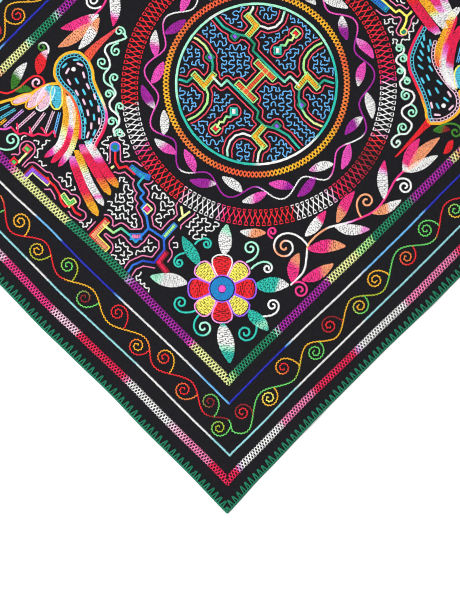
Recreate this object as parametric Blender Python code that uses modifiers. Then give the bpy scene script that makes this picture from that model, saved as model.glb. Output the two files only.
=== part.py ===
"""Embroidered cloth: one oblong panel of black cotton that lies on a table.

The cloth is a single thin solid. Its four sides draw in a little between the corners, the
stitched rim is thicker than the middle, and a few soft puckers lift it off the table.
The frame has its origin under the middle of the cloth, +X along its longer sides.
"""

import math

import bmesh
import bpy
from mathutils import Vector

MM = 0.001

# The finished cloth, from rim to rim
LENGTH = 680 * MM
WIDTH = 586 * MM
MIDDLE_THICK = 1.5 * MM
RIM_THICK = 2.4 * MM
RIM_WIDE = 10 * MM
CORNER_DRAWN_IN = 1.6 * MM

# Cells of the sheet, the two rows along the rims included
CELLS_LONG = 40
CELLS_WIDE = 34

# How far in from the rim the drawn-in sides still move the cloth
SIDE_REACH = 110 * MM

# A row for each place on a side where the rim's distance from a straight line is known.
# Columns: millimetres from the side's start, millimetres that the rim is drawn in there.
SIDE_WAVES = {
    # from the near corner along the near long side
    "near": ((0, 0.0), (55, 2.3), (145, 4.4), (235, 4.5), (310, 3.0), (470, 3.8), (600, 1.6), (680, 0.0)),
    # from the near corner along the left short side
    "left": ((0, 0.0), (60, 1.2), (120, 0.8), (175, 2.1), (235, 1.0), (275, 0.2), (340, 1.6), (470, 2.4), (586, 0.0)),
    "far": ((0, 0.0), (90, 1.8), (210, 3.9), (360, 2.6), (450, 4.0), (590, 2.0), (680, 0.0)),
    "right": ((0, 0.0), (110, 2.2), (240, 1.1), (330, 0.4), (430, 1.9), (520, 1.0), (586, 0.0)),
}

# A row for each soft pucker. Columns: name, x and y of its middle in millimetres, the
# direction of its ridge in degrees from +X, half its length and half its breadth in
# millimetres, and its rise off the table in millimetres.
PUCKERS = (
    ("near side, left", -205, -262, 82, 78, 34, 2.6),
    ("near side, middle", -35, -258, 96, 70, 30, 2.0),
    ("near side, right", 150, -264, 86, 84, 36, 2.9),
    ("near right corner", 292, -240, 38, 74, 40, 3.2),
    ("left side, low", -312, -140, 8, 66, 30, 2.1),
    ("left side, high", -310, 35, -6, 76, 34, 2.7),
    ("far left corner", -290, 232, -42, 78, 42, 3.4),
    ("far side, left", -120, 262, 84, 74, 32, 2.3),
    ("far side, right", 95, 260, 98, 80, 36, 2.8),
    ("right side, high", 308, 120, 4, 70, 34, 2.4),
    ("right side, low", 314, -55, -10, 62, 30, 2.0),
    ("below the medallion", -148, -128, 44, 62, 26, 1.3),
    ("above the medallion", 152, 124, 40, 64, 28, 1.4),
)

CLOTH_COLOUR = (0.016, 0.015, 0.018, 1.0)
CLOTH_ROUGHNESS = 0.88


def clear_scene():
    for old in list(bpy.data.objects):
        bpy.data.objects.remove(old)


def smooth_between(low, high, share):
    """A value that leaves low and reaches high without a kink."""
    return low + (high - low) * share * share * (3 - 2 * share)


def drawn_in(side, along):
    """How far the rim of a side is drawn in, a distance along from the side's start."""
    rows = [(place * MM, depth * MM) for place, depth in SIDE_WAVES[side]]
    for (start, low), (end, high) in zip(rows, rows[1:]):
        if along <= end:
            return smooth_between(low, high, (along - start) / (end - start))
    return rows[-1][1]


def side_shift(place):
    """The move in the table's plane that the four drawn-in sides give a point of the cloth."""
    along_x = place.x + LENGTH / 2
    along_y = place.y + WIDTH / 2
    sides = (
        ("near", along_x, along_y, Vector((0, 1))),
        ("far", along_x, WIDTH - along_y, Vector((0, -1))),
        ("left", along_y, along_x, Vector((1, 0))),
        ("right", along_y, LENGTH - along_x, Vector((-1, 0))),
    )
    shift = Vector((0, 0))
    for side, along, depth, inward in sides:
        held = max(0.0, 1 - depth / SIDE_REACH)
        shift += inward * drawn_in(side, along) * held * held
    return shift


def lift(place):
    """The height of the cloth's underside above the table."""
    height = 0.0
    for _name, x, y, turn, half_long, half_broad, rise in PUCKERS:
        way = Vector((math.cos(math.radians(turn)), math.sin(math.radians(turn))))
        apart = place - Vector((x, y)) * MM
        share_long = apart.dot(way) / (half_long * MM)
        share_broad = apart.dot(Vector((-way.y, way.x))) / (half_broad * MM)
        far = min(1.0, math.hypot(share_long, share_broad))
        height = max(height, rise * MM * math.cos(math.pi / 2 * far) ** 2)
    return height


def line_of_cells(index, cells, size):
    """Where a line of the sheet's cells runs: narrow cells along both rims, even ones between."""
    if index == 0:
        return -size / 2
    if index == cells:
        return size / 2
    inner = size / 2 - RIM_WIDE
    return -inner + 2 * inner * (index - 1) / (cells - 2)


def sheet_surface():
    """The cloth's underside as an open surface, and the indices of the points on its rim."""
    surface = bmesh.new()
    bmesh.ops.create_grid(surface, x_segments=CELLS_LONG, y_segments=CELLS_WIDE, size=0.5)
    rim = set()
    for point in surface.verts:
        column = round((point.co.x + 0.5) * CELLS_LONG)
        row = round((point.co.y + 0.5) * CELLS_WIDE)
        flat = Vector(
            (line_of_cells(column, CELLS_LONG, LENGTH), line_of_cells(row, CELLS_WIDE, WIDTH))
        )
        if column in (0, CELLS_LONG) or row in (0, CELLS_WIDE):
            rim.add(point.index)
        placed = flat + side_shift(flat)
        if column in (0, CELLS_LONG) and row in (0, CELLS_WIDE):
            placed -= flat.normalized() * CORNER_DRAWN_IN
        point.co = (placed.x, placed.y, lift(flat))
    return surface, rim


def cotton():
    material = bpy.data.materials.new("black cotton")
    material.use_nodes = True
    shader = material.node_tree.nodes["Principled BSDF"]
    shader.inputs["Base Color"].default_value = CLOTH_COLOUR
    shader.inputs["Roughness"].default_value = CLOTH_ROUGHNESS
    return material


def embroidered_cloth(collection):
    surface, rim = sheet_surface()
    mesh = bpy.data.meshes.new("cloth_panel")
    surface.to_mesh(mesh)
    surface.free()
    cloth = bpy.data.objects.new("cloth_panel", mesh)
    collection.objects.link(cloth)
    mesh.materials.append(cotton())
    mesh.shade_smooth()

    full = cloth.vertex_groups.new(name="stitched rim")
    full.add(sorted(rim), 1.0, "REPLACE")
    thickness = cloth.modifiers.new("thickness", "SOLIDIFY")
    thickness.thickness = RIM_THICK
    thickness.offset = 1.0
    thickness.vertex_group = full.name
    thickness.thickness_vertex_group = MIDDLE_THICK / RIM_THICK
    return cloth


def main():
    clear_scene()
    collection = bpy.data.collections.new("embroidered cloth")
    bpy.context.scene.collection.children.link(collection)
    embroidered_cloth(collection)


main()
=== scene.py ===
"""Dresses the embroidered cloth: black cotton, sewn over by hand in many colours of thread.

The pattern is laid out on the flat cloth in millimetres from its middle, +X along the longer
sides. Each stitch is a copy of one modelled stitch, and follows the cloth's folds once placed.
"""

import math

import bmesh
import bpy
import numpy as np
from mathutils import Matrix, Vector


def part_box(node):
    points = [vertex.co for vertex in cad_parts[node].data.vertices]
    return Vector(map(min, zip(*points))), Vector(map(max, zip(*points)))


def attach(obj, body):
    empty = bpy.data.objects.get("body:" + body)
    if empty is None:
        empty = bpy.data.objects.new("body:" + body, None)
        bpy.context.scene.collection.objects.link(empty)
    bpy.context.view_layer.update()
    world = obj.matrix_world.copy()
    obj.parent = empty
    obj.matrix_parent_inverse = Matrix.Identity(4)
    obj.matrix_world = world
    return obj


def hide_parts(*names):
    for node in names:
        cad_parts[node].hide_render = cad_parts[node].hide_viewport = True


bl_info = {
    "name": "Embroidered Cloth",
    "version": (1, 0, 0),
    "blender": (4, 5, 0),
    "location": "3D View > Sidebar > Cloth",
    "description": "Makes a black cotton cloth and sews its borders, medallion, flowers, birds and mazes",
    "category": "Object",
}

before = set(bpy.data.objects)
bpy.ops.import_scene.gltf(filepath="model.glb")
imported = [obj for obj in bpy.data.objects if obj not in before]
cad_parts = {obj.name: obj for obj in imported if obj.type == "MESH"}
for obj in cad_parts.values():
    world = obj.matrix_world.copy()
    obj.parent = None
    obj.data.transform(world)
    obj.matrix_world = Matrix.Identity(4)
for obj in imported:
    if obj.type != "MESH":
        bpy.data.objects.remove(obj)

MM = 0.001
LOW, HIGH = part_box("cloth_panel")
LENGTH = round((HIGH[0] - LOW[0]) / MM)
WIDTH = round((HIGH[1] - LOW[1]) / MM)
ROUND = 2 * (LENGTH + WIDTH)

# How far in from the rim the drawn-in sides still move the cloth, in millimetres
SIDE_REACH = 110

# A row for each place on a side where the rim's distance from a straight line is known.
# Columns: millimetres from the side's start, millimetres that the rim is drawn in there.
SIDE_WAVES = {
    "near": ((0, 0.0), (55, 2.3), (145, 4.4), (235, 4.5), (310, 3.0), (470, 3.8), (600, 1.6), (680, 0.0)),
    "left": (
        (0, 0.0), (60, 1.2), (120, 0.8), (175, 2.1), (235, 1.0), (275, 0.2), (340, 1.6), (470, 2.4),
        (586, 0.0),
    ),
    "far": ((0, 0.0), (90, 1.8), (210, 3.9), (360, 2.6), (450, 4.0), (590, 2.0), (680, 0.0)),
    "right": ((0, 0.0), (110, 2.2), (240, 1.1), (330, 0.4), (430, 1.9), (520, 1.0), (586, 0.0)),
}

# A row for each soft pucker. Columns: x and y of its middle in millimetres, the direction of
# its ridge in degrees from +X, half its length and half its breadth, and its rise.
PUCKERS = (
    (-205, -262, 82, 78, 34, 2.6),
    (-35, -258, 96, 70, 30, 2.0),
    (150, -264, 86, 84, 36, 2.9),
    (292, -240, 38, 74, 40, 3.2),
    (-312, -140, 8, 66, 30, 2.1),
    (-310, 35, -6, 76, 34, 2.7),
    (-290, 232, -42, 78, 42, 3.4),
    (-120, 262, 84, 74, 32, 2.3),
    (95, 260, 98, 80, 36, 2.8),
    (308, 120, 4, 70, 34, 2.4),
    (314, -55, -10, 62, 30, 2.0),
    (-148, -128, 44, 62, 26, 1.3),
    (152, 124, 40, 64, 28, 1.4),
)

# The sides counter-clockwise from the near corner: name, length, the corner where it starts,
# its direction and the direction into the cloth.
SIDES = (
    ("near", LENGTH, (-LENGTH / 2, -WIDTH / 2), (1, 0), (0, 1)),
    ("right", WIDTH, (LENGTH / 2, -WIDTH / 2), (0, 1), (-1, 0)),
    ("far", LENGTH, (LENGTH / 2, WIDTH / 2), (-1, 0), (0, -1)),
    ("left", WIDTH, (-LENGTH / 2, WIDTH / 2), (0, -1), (1, 0)),
)

HEM_WIDE = 10


def from_screen(red, green, blue):
    """A colour as the shader takes it, from its levels on a screen."""
    shares = [level / 255 for level in (red, green, blue)]
    return tuple(((v + 0.055) / 1.055) ** 2.4 if v > 0.04 else v / 12.92 for v in shares)


def dye(name, red, green, blue):
    """A setting for one colour of thread, from its levels on a screen."""
    return bpy.props.FloatVectorProperty(
        name=name,
        description=f"The {name.lower()} thread",
        subtype="COLOR",
        min=0,
        max=1,
        default=from_screen(red, green, blue),
    )


class ThreadColours(bpy.types.PropertyGroup):
    """The colours of the embroidery thread."""

    edge_green: dye("Edge green", 8, 118, 86)
    crimson: dye("Crimson", 240, 24, 84)
    fuchsia: dye("Fuchsia", 246, 50, 140)
    rose: dye("Rose", 250, 132, 184)
    pale_rose: dye("Pale rose", 250, 204, 226)
    magenta: dye("Magenta", 244, 84, 196)
    orchid: dye("Orchid", 246, 152, 222)
    lilac: dye("Lilac", 222, 166, 240)
    violet: dye("Violet", 158, 92, 246)
    purple: dye("Purple", 172, 28, 168)
    white: dye("White", 242, 241, 240)
    cream: dye("Cream", 240, 246, 164)
    yellow: dye("Yellow", 252, 240, 104)
    gold: dye("Gold", 252, 184, 36)
    orange: dye("Orange", 248, 128, 52)
    salmon: dye("Salmon", 252, 166, 120)
    coral: dye("Coral", 244, 74, 98)
    flame: dye("Flame", 246, 96, 52)
    red: dye("Red", 240, 30, 44)
    maroon: dye("Maroon", 150, 22, 32)
    olive: dye("Olive", 178, 190, 40)
    leaf: dye("Leaf green", 104, 214, 100)
    pale_green: dye("Pale green", 176, 240, 146)
    deep_green: dye("Deep green", 22, 140, 98)
    moss: dye("Moss green", 58, 132, 34)
    mint: dye("Mint", 168, 240, 208)
    teal: dye("Teal", 40, 194, 176)
    aqua: dye("Aqua", 152, 222, 228)
    cyan: dye("Cyan", 84, 204, 230)
    sky: dye("Sky blue", 110, 190, 248)
    blue: dye("Blue", 40, 126, 224)
    ocean: dye("Ocean blue", 26, 132, 196)
    royal: dye("Royal blue", 24, 38, 186)


class ClothSettings(bpy.types.PropertyGroup):
    """The sizes and the finish of the cloth."""

    cotton_colour: bpy.props.FloatVectorProperty(
        name="Cotton", description="The ground cloth's colour", subtype="COLOR", min=0, max=1,
        default=from_screen(22, 21, 25),
    )
    cotton_thick: bpy.props.FloatProperty(
        name="Cotton thickness", description="Thickness of the ground cloth",
        unit="LENGTH", min=0.0003, max=0.003, default=0.9 * MM,
    )
    hem_thick: bpy.props.FloatProperty(
        name="Hem thickness", description="Thickness of the turned and sewn rim",
        unit="LENGTH", min=0.0005, max=0.004, default=1.5 * MM,
    )
    cell: bpy.props.FloatProperty(
        name="Cell", description="Size of the cells that the cloth's surface is made of",
        unit="LENGTH", min=0.002, max=0.02, default=4 * MM,
    )
    edge_pitch: bpy.props.FloatProperty(
        name="Edge stitch pitch", description="From one edge stitch to the next",
        unit="LENGTH", min=0.003, max=0.02, default=6.4 * MM,
    )
    colours: bpy.props.PointerProperty(type=ThreadColours)


def settings():
    """The sizes and colours that the user can change."""
    return bpy.context.scene.embroidered_cloth


def shades(names):
    """The levels of some dyes, a row for each."""
    return np.array([tuple(getattr(settings().colours, name)) for name in names])


def stops_of(plan):
    """The (place, colour) rows of a plan of variegated thread.

    A plan is written as in "0 red 40 60 gold 100": each colour has the place where it begins
    before it and, where two numbers follow or it is the last, the place where it ends after it.
    """
    words = plan.split()
    numbers = [word[-1].isdigit() for word in words]
    stops = []
    for order, word in enumerate(words):
        if not numbers[order]:
            stops.append((float(words[order - 1]), word))
            if order + 1 < len(words) and all(numbers[order + 1 : order + 3]):
                stops.append((float(words[order + 1]), word))
    return stops


def dyed(plan, places):
    """The thread's colours at some places, by a plan or by the name of one colour."""
    if " " not in plan:
        return np.repeat(shades([plan]), len(places), axis=0)
    stops, names = zip(*stops_of(plan))
    colours = shades(names)
    return np.stack([np.interp(places, stops, colours[:, i]) for i in range(3)], axis=1)


def coming_round(plan, places):
    """The same, with the plan begun again where it ends, as variegated thread does."""
    stops = stops_of(plan)
    start, end = stops[0][0], stops[-1][0]
    return dyed(plan, (np.asarray(places) - start) % (end - start) + start)


def along_thread(plan, along):
    """Colours at distances along a line, by a plan for its length from 0 to 1 or by a function."""
    return plan(along) if callable(plan) else dyed(plan, along / max(along[-1], 1e-9))


def smooth_between(low, high, share):
    """A value that leaves low and reaches high without a kink."""
    return low + (high - low) * share * share * (3 - 2 * share)


def heading(degrees):
    """The direction at some degrees counter-clockwise from +X."""
    return np.array([math.cos(math.radians(degrees)), math.sin(math.radians(degrees))])


def crosswise(way):
    """The direction to the left of one direction."""
    return np.array([-way[1], way[0]])


def drawn_in(side, along):
    """How far the rim of a side is drawn in, at distances along it."""
    places, depths = (np.array(column) for column in zip(*SIDE_WAVES[side]))
    row = np.clip(np.searchsorted(places, along) - 1, 0, len(places) - 2)
    share = np.clip((along - places[row]) / (places[row + 1] - places[row]), 0, 1)
    return smooth_between(depths[row], depths[row + 1], share)


def rim_depth(flat):
    """How far flat points are in from the nearest side."""
    return np.minimum(LENGTH / 2 - abs(flat[:, 0]), WIDTH / 2 - abs(flat[:, 1]))


def spread_out(flat):
    """Where flat points of the cloth lie once it is spread on the table: its underside there."""
    along_x, along_y = flat[:, 0] + LENGTH / 2, flat[:, 1] + WIDTH / 2
    placed = np.column_stack([flat, np.zeros(len(flat))])
    for side, along, depth, axis, sign in (
        ("near", along_x, along_y, 1, 1),
        ("far", along_x, WIDTH - along_y, 1, -1),
        ("left", along_y, along_x, 0, 1),
        ("right", along_y, LENGTH - along_x, 0, -1),
    ):
        held = np.clip(1 - depth / SIDE_REACH, 0, 1)
        placed[:, axis] += sign * drawn_in(side, along) * held**2
    for x, y, turn, half_long, half_broad, rise in PUCKERS:
        way = heading(turn)
        apart = flat - (x, y)
        far = np.hypot(apart @ way / half_long, apart @ crosswise(way) / half_broad)
        height = rise * np.cos(np.pi / 2 * np.minimum(1, far)) ** 2
        placed[:, 2] = np.maximum(placed[:, 2], height)
    return placed


def thickness(flat):
    """How thick the cloth is at flat points: more at its hem."""
    share = np.clip(1 - (rim_depth(flat) - HEM_WIDE / 2) / HEM_WIDE, 0, 1)
    return smooth_between(settings().cotton_thick / MM, settings().hem_thick / MM, share)


def on_cloth(flat, height):
    """Points that lie a height above the cloth's top, in millimetres."""
    placed = spread_out(flat)
    placed[:, 2] += thickness(flat) + height
    return placed


# Where the middle that the pictured places are measured from lies on the flat cloth
PICTURED_AT = (0, 2)


def as_pictured(points):
    """Flat points from millimetres right of and above the middle, with the near corner lowest."""
    points = np.atleast_2d(np.asarray(points, float))
    right, up = points[:, 0], points[:, 1]
    return np.column_stack([right + up, up - right]) * math.sqrt(0.5) + PICTURED_AT


def curve(points, closed=False, pieces=8):
    """A smooth line through the points."""
    points = np.asarray(points, float)
    if closed:
        before, after = points[-1:], points[:2]
    else:
        before, after = 2 * points[:1] - points[1:2], 2 * points[-1:] - points[-2:-1]
    held = np.concatenate([before, points, after])
    share = np.linspace(0, 1, pieces, endpoint=False)[:, None]
    line = []
    for a, b, c, d in zip(held, held[1:], held[2:], held[3:]):
        bent = 2 * a - 5 * b + 4 * c - d + share * (3 * (b - c) + d - a)
        line.append(b + 0.5 * share * (c - a + share * bent))
    return np.concatenate([*line, held[-2:-1]])


def ring(radius, centre=(0, 0), steps=180):
    """The points of a full ring."""
    angles = np.radians(np.linspace(0, 360, steps))
    return np.column_stack([np.cos(angles), np.sin(angles)]) * radius + centre


def walk(line, step):
    """Places, directions and distances at even steps along a line."""
    lengths = np.hypot(*np.diff(line, axis=0).T)
    reached = np.concatenate([[0], np.cumsum(lengths)])
    count = max(1, round(reached[-1] / step))
    along = (np.arange(count) + 0.5) * reached[-1] / count
    places = np.column_stack([np.interp(along, reached, line[:, i]) for i in (0, 1)])
    row = np.clip(np.searchsorted(reached, along) - 1, 0, len(lengths) - 1)
    ways = (line[row + 1] - line[row]) / np.maximum(lengths[row], 1e-9)[:, None]
    return places, ways, along


def left_of(ways):
    """The directions to the left of some directions, a row for each."""
    return np.column_stack([-ways[:, 1], ways[:, 0]])


# How much darker or lighter than its dye a stitch may be
SHADE_RANGE = (0.86, 1.12)


class Sewing:
    """Stitches on the flat cloth, in millimetres, until a piece is made of them.

    Columns of a row: x and y of the start, x and y of the end, width, height, rise, colour.
    """

    def __init__(self, seed):
        self.rows = []
        self.chance = np.random.default_rng(seed)

    def add(self, starts, ends, wide, colours, high=0.7, lifted=0.0):
        """Stitches from starts to ends. A lifted one lies over its neighbours by that much."""
        starts, ends = np.atleast_2d(starts), np.atleast_2d(ends)
        rows = np.empty((len(starts), 10))
        rows[:, 0:2], rows[:, 2:4], rows[:, 7:10] = starts, ends, colours
        rows[:, 4], rows[:, 5], rows[:, 6] = wide, high, lifted
        rows[:, 7:10] *= self.chance.uniform(*SHADE_RANGE, (len(rows), 1))
        self.rows.append(rows)

    def turned_twin(self, shift):
        """Everything sewn so far comes again, turned by half a round and shifted."""
        twins = np.concatenate(self.rows)
        middle = np.array(PICTURED_AT) * 2 + shift
        twins[:, 0:2] = middle - twins[:, 0:2]
        twins[:, 2:4] = middle - twins[:, 2:4]
        self.rows.append(twins)


def stem_stitch(sewing, line, plan, wide, length, step, slant, zigzag=False):
    """Slanted stitches, each beside the last, that make a twisted line or a zigzag one."""
    places, ways, along = walk(line, step)
    colours = along_thread(plan, along)
    places = places + sewing.chance.normal(0, 0.08, places.shape)
    turn = np.where(np.arange(len(along)) % 2, -1, 1)[:, None] if zigzag else 1
    reach = ways * length / 2 + left_of(ways) * slant * turn
    sewing.add(places - reach, places + reach, wide, colours, high=0.75)


def chain_stitch(sewing, line, plan, wide, link, thread):
    """Links with a gap in each: two rows of threads with a short thread across at every joint."""
    places, ways, along = walk(line, link)
    colours = along_thread(plan, along)
    across = left_of(ways) * (wide - thread) / 2
    for side in (-1, 1):
        reach = ways * link * 0.54
        sewing.add(places - reach + across * side, places + reach + across * side, thread, colours)
    joint = places + ways * link / 2
    sewing.add(joint - across * 0.8, joint + across * 0.8, thread, colours)


def cross_stitch(sewing, line, plan, wide, link, thread):
    """A row of crosses, of which each touches the next."""
    places, ways, along = walk(line, link)
    colours = along_thread(plan, along)
    for side in (-1, 1):
        reach = ways * link * 0.52 + left_of(ways) * side * (wide - thread) / 2
        sewing.add(places - reach, places + reach, thread, colours, lifted=0.2 * side)


def satin(sewing, spine, half_widths, plan, columns=3, slant=0.3):
    """Threads laid in pairs across a spine, split like bricks. half_widths is (share, mm) rows."""
    places, ways, along = walk(spine, SATIN_GAP)
    row = np.arange(len(along))
    share = along / along[-1]
    half = np.interp(share, *zip(*half_widths))
    across = left_of(ways) + ways * slant
    colours = dyed(plan, share)
    offset = np.where(row // 2 % 2, 0.5, 0.0) if columns > 1 else np.zeros(len(row))
    for column in range(-1, columns):
        low = np.clip(-1 + 2 * (column + offset) / columns, -1, 1)
        top = np.clip(-1 + 2 * (column + 1 + offset) / columns, -1, 1)
        wanted = (half > 0.35) & (top - low > 0.05)
        paired = ways * (np.where((row + column) % 2, -PAIRED, PAIRED) * SATIN_GAP)[:, None]
        wobble = sewing.chance.normal(0, 0.12, (len(share), 2))
        start = places + paired + across * (half * low - 0.18 + wobble[:, 0])[:, None]
        end = places + paired + across * (half * top + 0.18 + wobble[:, 1])[:, None]
        wide = SATIN_THREAD * sewing.chance.uniform(0.82, 1.12, len(share))
        sewing.add(start[wanted], end[wanted], wide[wanted], colours[wanted], high=0.8)


# Radius of the open middle of a spiral
SPIRAL_EYE = 1.3
SATIN_GAP = 1.15
SATIN_THREAD = 1.15
# How far the threads of a pair lean to one another, as a share of the gap between threads
PAIRED = 0.15
# Outlines of filled shapes: (share of the length, half width as a share of the widest) rows
LEAF_SHAPE = (
    (0, 0.1), (0.07, 0.38), (0.2, 0.74), (0.36, 0.98), (0.5, 1), (0.66, 0.88), (0.8, 0.62), (0.92, 0.3),
    (1, 0.04),
)
PETAL_SHAPE = (
    (0, 0.55), (0.12, 0.8), (0.3, 0.97), (0.5, 1), (0.7, 0.95), (0.85, 0.75), (0.95, 0.45), (1, 0.2),
)


def satin_leaf(sewing, base, tip, wide, plan, bend=0.0, shape=LEAF_SHAPE, slant=0.3):
    """A leaf of satin threads. bend moves its middle to the left, in millimetres."""
    base, tip = np.asarray(base, float), np.asarray(tip, float)
    way = (tip - base) / np.hypot(*(tip - base))
    spine = curve([base, (base + tip) / 2 + crosswise(way) * bend, tip])
    satin(sewing, spine, [(share, part * wide / 2) for share, part in shape], plan, slant=slant)


def rim_of(base, tip, wide, shape, longer, wider=0.0):
    """The outline of a petal or a feather, from its base round its tip."""
    base, run = np.asarray(base, float), np.subtract(tip, base)
    long = np.hypot(*run)
    way = run / long
    return curve([
        base + way * (long + longer) * share + crosswise(way) * sign * (part * wide / 2 + wider)
        for sign, rows in ((-1, shape), (1, shape[::-1]))
        for share, part in rows
    ])


def spiral(centre, start, turns, tight, clockwise=False):
    """A line from start that winds in round a centre. tight is the radius that it soon has."""
    centre, start = np.asarray(centre, float), np.asarray(start, float)
    far = np.hypot(*(start - centre))
    begin = math.atan2(*(start - centre)[::-1])
    share = np.linspace(0, 1, int(30 * turns))
    round_by = share * turns * 2 * np.pi
    radii = SPIRAL_EYE + (tight - SPIRAL_EYE) * (1 - share) ** 0.9
    radii += max(0, far - tight) * np.exp(-round_by / 0.7)
    angles = begin + round_by * (-1 if clockwise else 1)
    return centre + np.column_stack([np.cos(angles), np.sin(angles)]) * radii[:, None]


def side_place(side, s, t):
    """Flat points a distance s along a side and t in from it."""
    _name, _long, corner, way, inward = side
    s, t = np.atleast_1d(s)[:, None], np.atleast_1d(t)[:, None]
    return np.array(corner) + s * np.array(way) + t * np.array(inward)


def signed_round(index, s):
    """Distance round the rim from the near corner: below zero on the left side."""
    gone = sum(side[1] for side in SIDES[:index]) + np.asarray(s)
    return np.where(gone > ROUND / 2, gone - ROUND, gone)


# Plans of variegated thread along the sides. The places in them are millimetres from the near
# corner, below zero up the left side.
OUTER_BAND = (
    "-900 crimson -600 -590 white -460 -450 crimson -410 -400 lilac -357 pale_rose -352 fuchsia -284 "
    "-279 pale_rose -248 -243 crimson -181 -174 rose -170 white -112 -107 pale_rose -80 rose -53 -49 "
    "crimson 38 42 lilac 47 white 104 109 rose 151 157 crimson 212 218 lilac 223 white 285 290 rose "
    "360 366 crimson 440"
)
INNER_BAND = (
    "-900 purple -836 -829 mint -826 deep_green -795 -790 mint -786 cream -750 -744 salmon -690 -680 "
    "purple -600 -590 deep_green -500 -490 purple -420 -414 rose -410 cream -338 -334 deep_green "
    "-252 -247 lilac -242 purple -160 -153 magenta -149 cream -98 -92 pale_green 95 cream 103 "
    "pale_green 110 deep_green 166 171 mint 175 purple 245 249 cream 286 291 pale_green 309 313 "
    "deep_green 365 372 purple 425 430 cream 440 salmon"
)
OUTER_LINE = (
    "-900 aqua -335 -325 white -305 -295 aqua -176 -162 white -66 -58 aqua 138 150 white 240 246 "
    "aqua 440"
)
INNER_LINE = (
    "-900 royal -775 -764 sky -740 white -600 sky -560 white -356 -352 sky -319 -315 royal -240 -233 "
    "sky -224 white -132 -108 sky -79 81 royal 163 168 sky 176 white 270 285 sky 365 372 royal 425 "
    "440 sky"
)
VINE = (
    "-900 gold -740 -720 leaf -600 -580 red -480 -470 gold -430 -404 orange -394 red -297 -290 gold "
    "-200 -182 orange -174 red -94 -86 maroon -66 -62 leaf 146 158 olive 174 gold 240 256 olive 284 "
    "294 leaf 356 364 red 440"
)

# How far the edge stitches reach in, half the width of their foot, and the widths of thread
EDGE_DEEP = 9.2
EDGE_DEEP_AT_CORNER = 3.4
EDGE_FOOT = 1.9
EDGE_THREAD = 1.65
RIM_THREAD = 1.6
# Width of the bands, and how far in the outer side of each band and line is
BAND_WIDE = 9.0
OUTER_BAND_AT = 20.2
INNER_BAND_AT = 93.6
OUTER_LINE_AT = 41.2
INNER_LINE_AT = 79.6

# How far further in from the rim than its even depth each border line runs, at distances from
# the near corner or all along, as the cloth was never ruled exactly. The right side is as the left.
DRIFT_AT = (45, 95, 145, 195, 245, 295, 345, 395)
DRIFTS = {
    "outer_band": {
        "near": (-1.6, -1.9, -1.7, -3.0, -3.4, -4.1, -4.0, -4.0),
        "left": (-0.8, -1.4, -1.2, -1.9, -2.6, -3.5, -2.4, -2.0),
        "far": -3,
    },
    "outer_line": {
        "near": (-1.0, -2.0, -1.3, -1.9, -2.3, -2.4, -2.5, -2.4),
        "left": (3.2, 2.4, 2.3, 1.2, -0.4, -1.5, -1.4, -1.4),
        "far": -5,
    },
    "inner_line": {
        "near": (0, 0.1, 0.5, 0, -1.6, -2.2, -2.6, -1.8),
        "left": (3.0, 2.9, 2.8, 1.5, 0.1, -0.8, 0, -2.2),
        "far": -7.7,
    },
    "inner_band": {
        "near": (-1, -1, -0.5, -1.2, -1.6, -2.9, -3, -3.3),
        "left": (1, 1, 0.9, 1.1, 1.9, 1.8, -1, -2),
        "far": -9,
    },
}
DRIFT_FADES = 40


def drift(border, index, s):
    """How far further in a border runs at a distance along a side."""
    name, long = SIDES[index][:2]
    depths = np.broadcast_to(DRIFTS[border]["left" if name == "right" else name], len(DRIFT_AT))
    return np.interp(s if name in ("near", "far") else long - np.asarray(s), DRIFT_AT, depths)


def drifted(border, index, s, t, depth):
    """Flat points of a border, given as it would run if it were ruled exactly."""
    side, before, after = SIDES[index], (index - 1) % 4, (index + 1) % 4
    near_start = np.clip(1 - (s - depth) / DRIFT_FADES, 0, 1)
    near_end = np.clip(1 - (side[1] - s - depth) / DRIFT_FADES, 0, 1)
    moved = s + drift(border, before, SIDES[before][1]) * near_start - drift(border, after, 0) * near_end
    return side_place(side, moved, t + drift(border, index, s))


def edge_stitches(sewing):
    """Pointed stitches over the rim, with a plaited line along it that is darkened as painted shade."""
    pitch = settings().edge_pitch / MM
    for side in SIDES:
        count = round(side[1] / pitch)
        s = (np.arange(count) + 0.5) * side[1] / count
        s = s + sewing.chance.normal(0, 0.25, count)
        deep = EDGE_DEEP + sewing.chance.normal(0, 0.5, count)
        near_corner = np.minimum(s, side[1] - s)
        deep = np.minimum(deep, EDGE_DEEP_AT_CORNER + near_corner * 0.75)
        lean = sewing.chance.normal(0.3, 0.5, count)
        tip = side_place(side, s + lean, deep)
        shade = dyed("edge_green", s)
        for foot, lifted in ((-EDGE_FOOT, 0), (EDGE_FOOT, 0.1)):
            start = side_place(side, s + foot, -0.2)
            end = tip + (side_place(side, foot * 0.12, 0) - side_place(side, 0, 0))
            sewing.add(start, end, EDGE_THREAD, shade, 1.0, lifted)
        rim = (np.arange(count * 2) + 0.5) * side[1] / count / 2
        # The plaited line is the edge stitches' green made a tenth darker: painted shade where the thread
        # turns over the rim.
        shade = dyed("edge_green", rim) * 0.9
        for t, lifted in ((0.6, -0.1), (-0.1, -1.0)):
            start, end = side_place(side, rim - 2.1, t), side_place(side, rim + 2.1, t + 0.25)
            sewing.add(start, end, RIM_THREAD, shade, 0.9, lifted)


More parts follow.
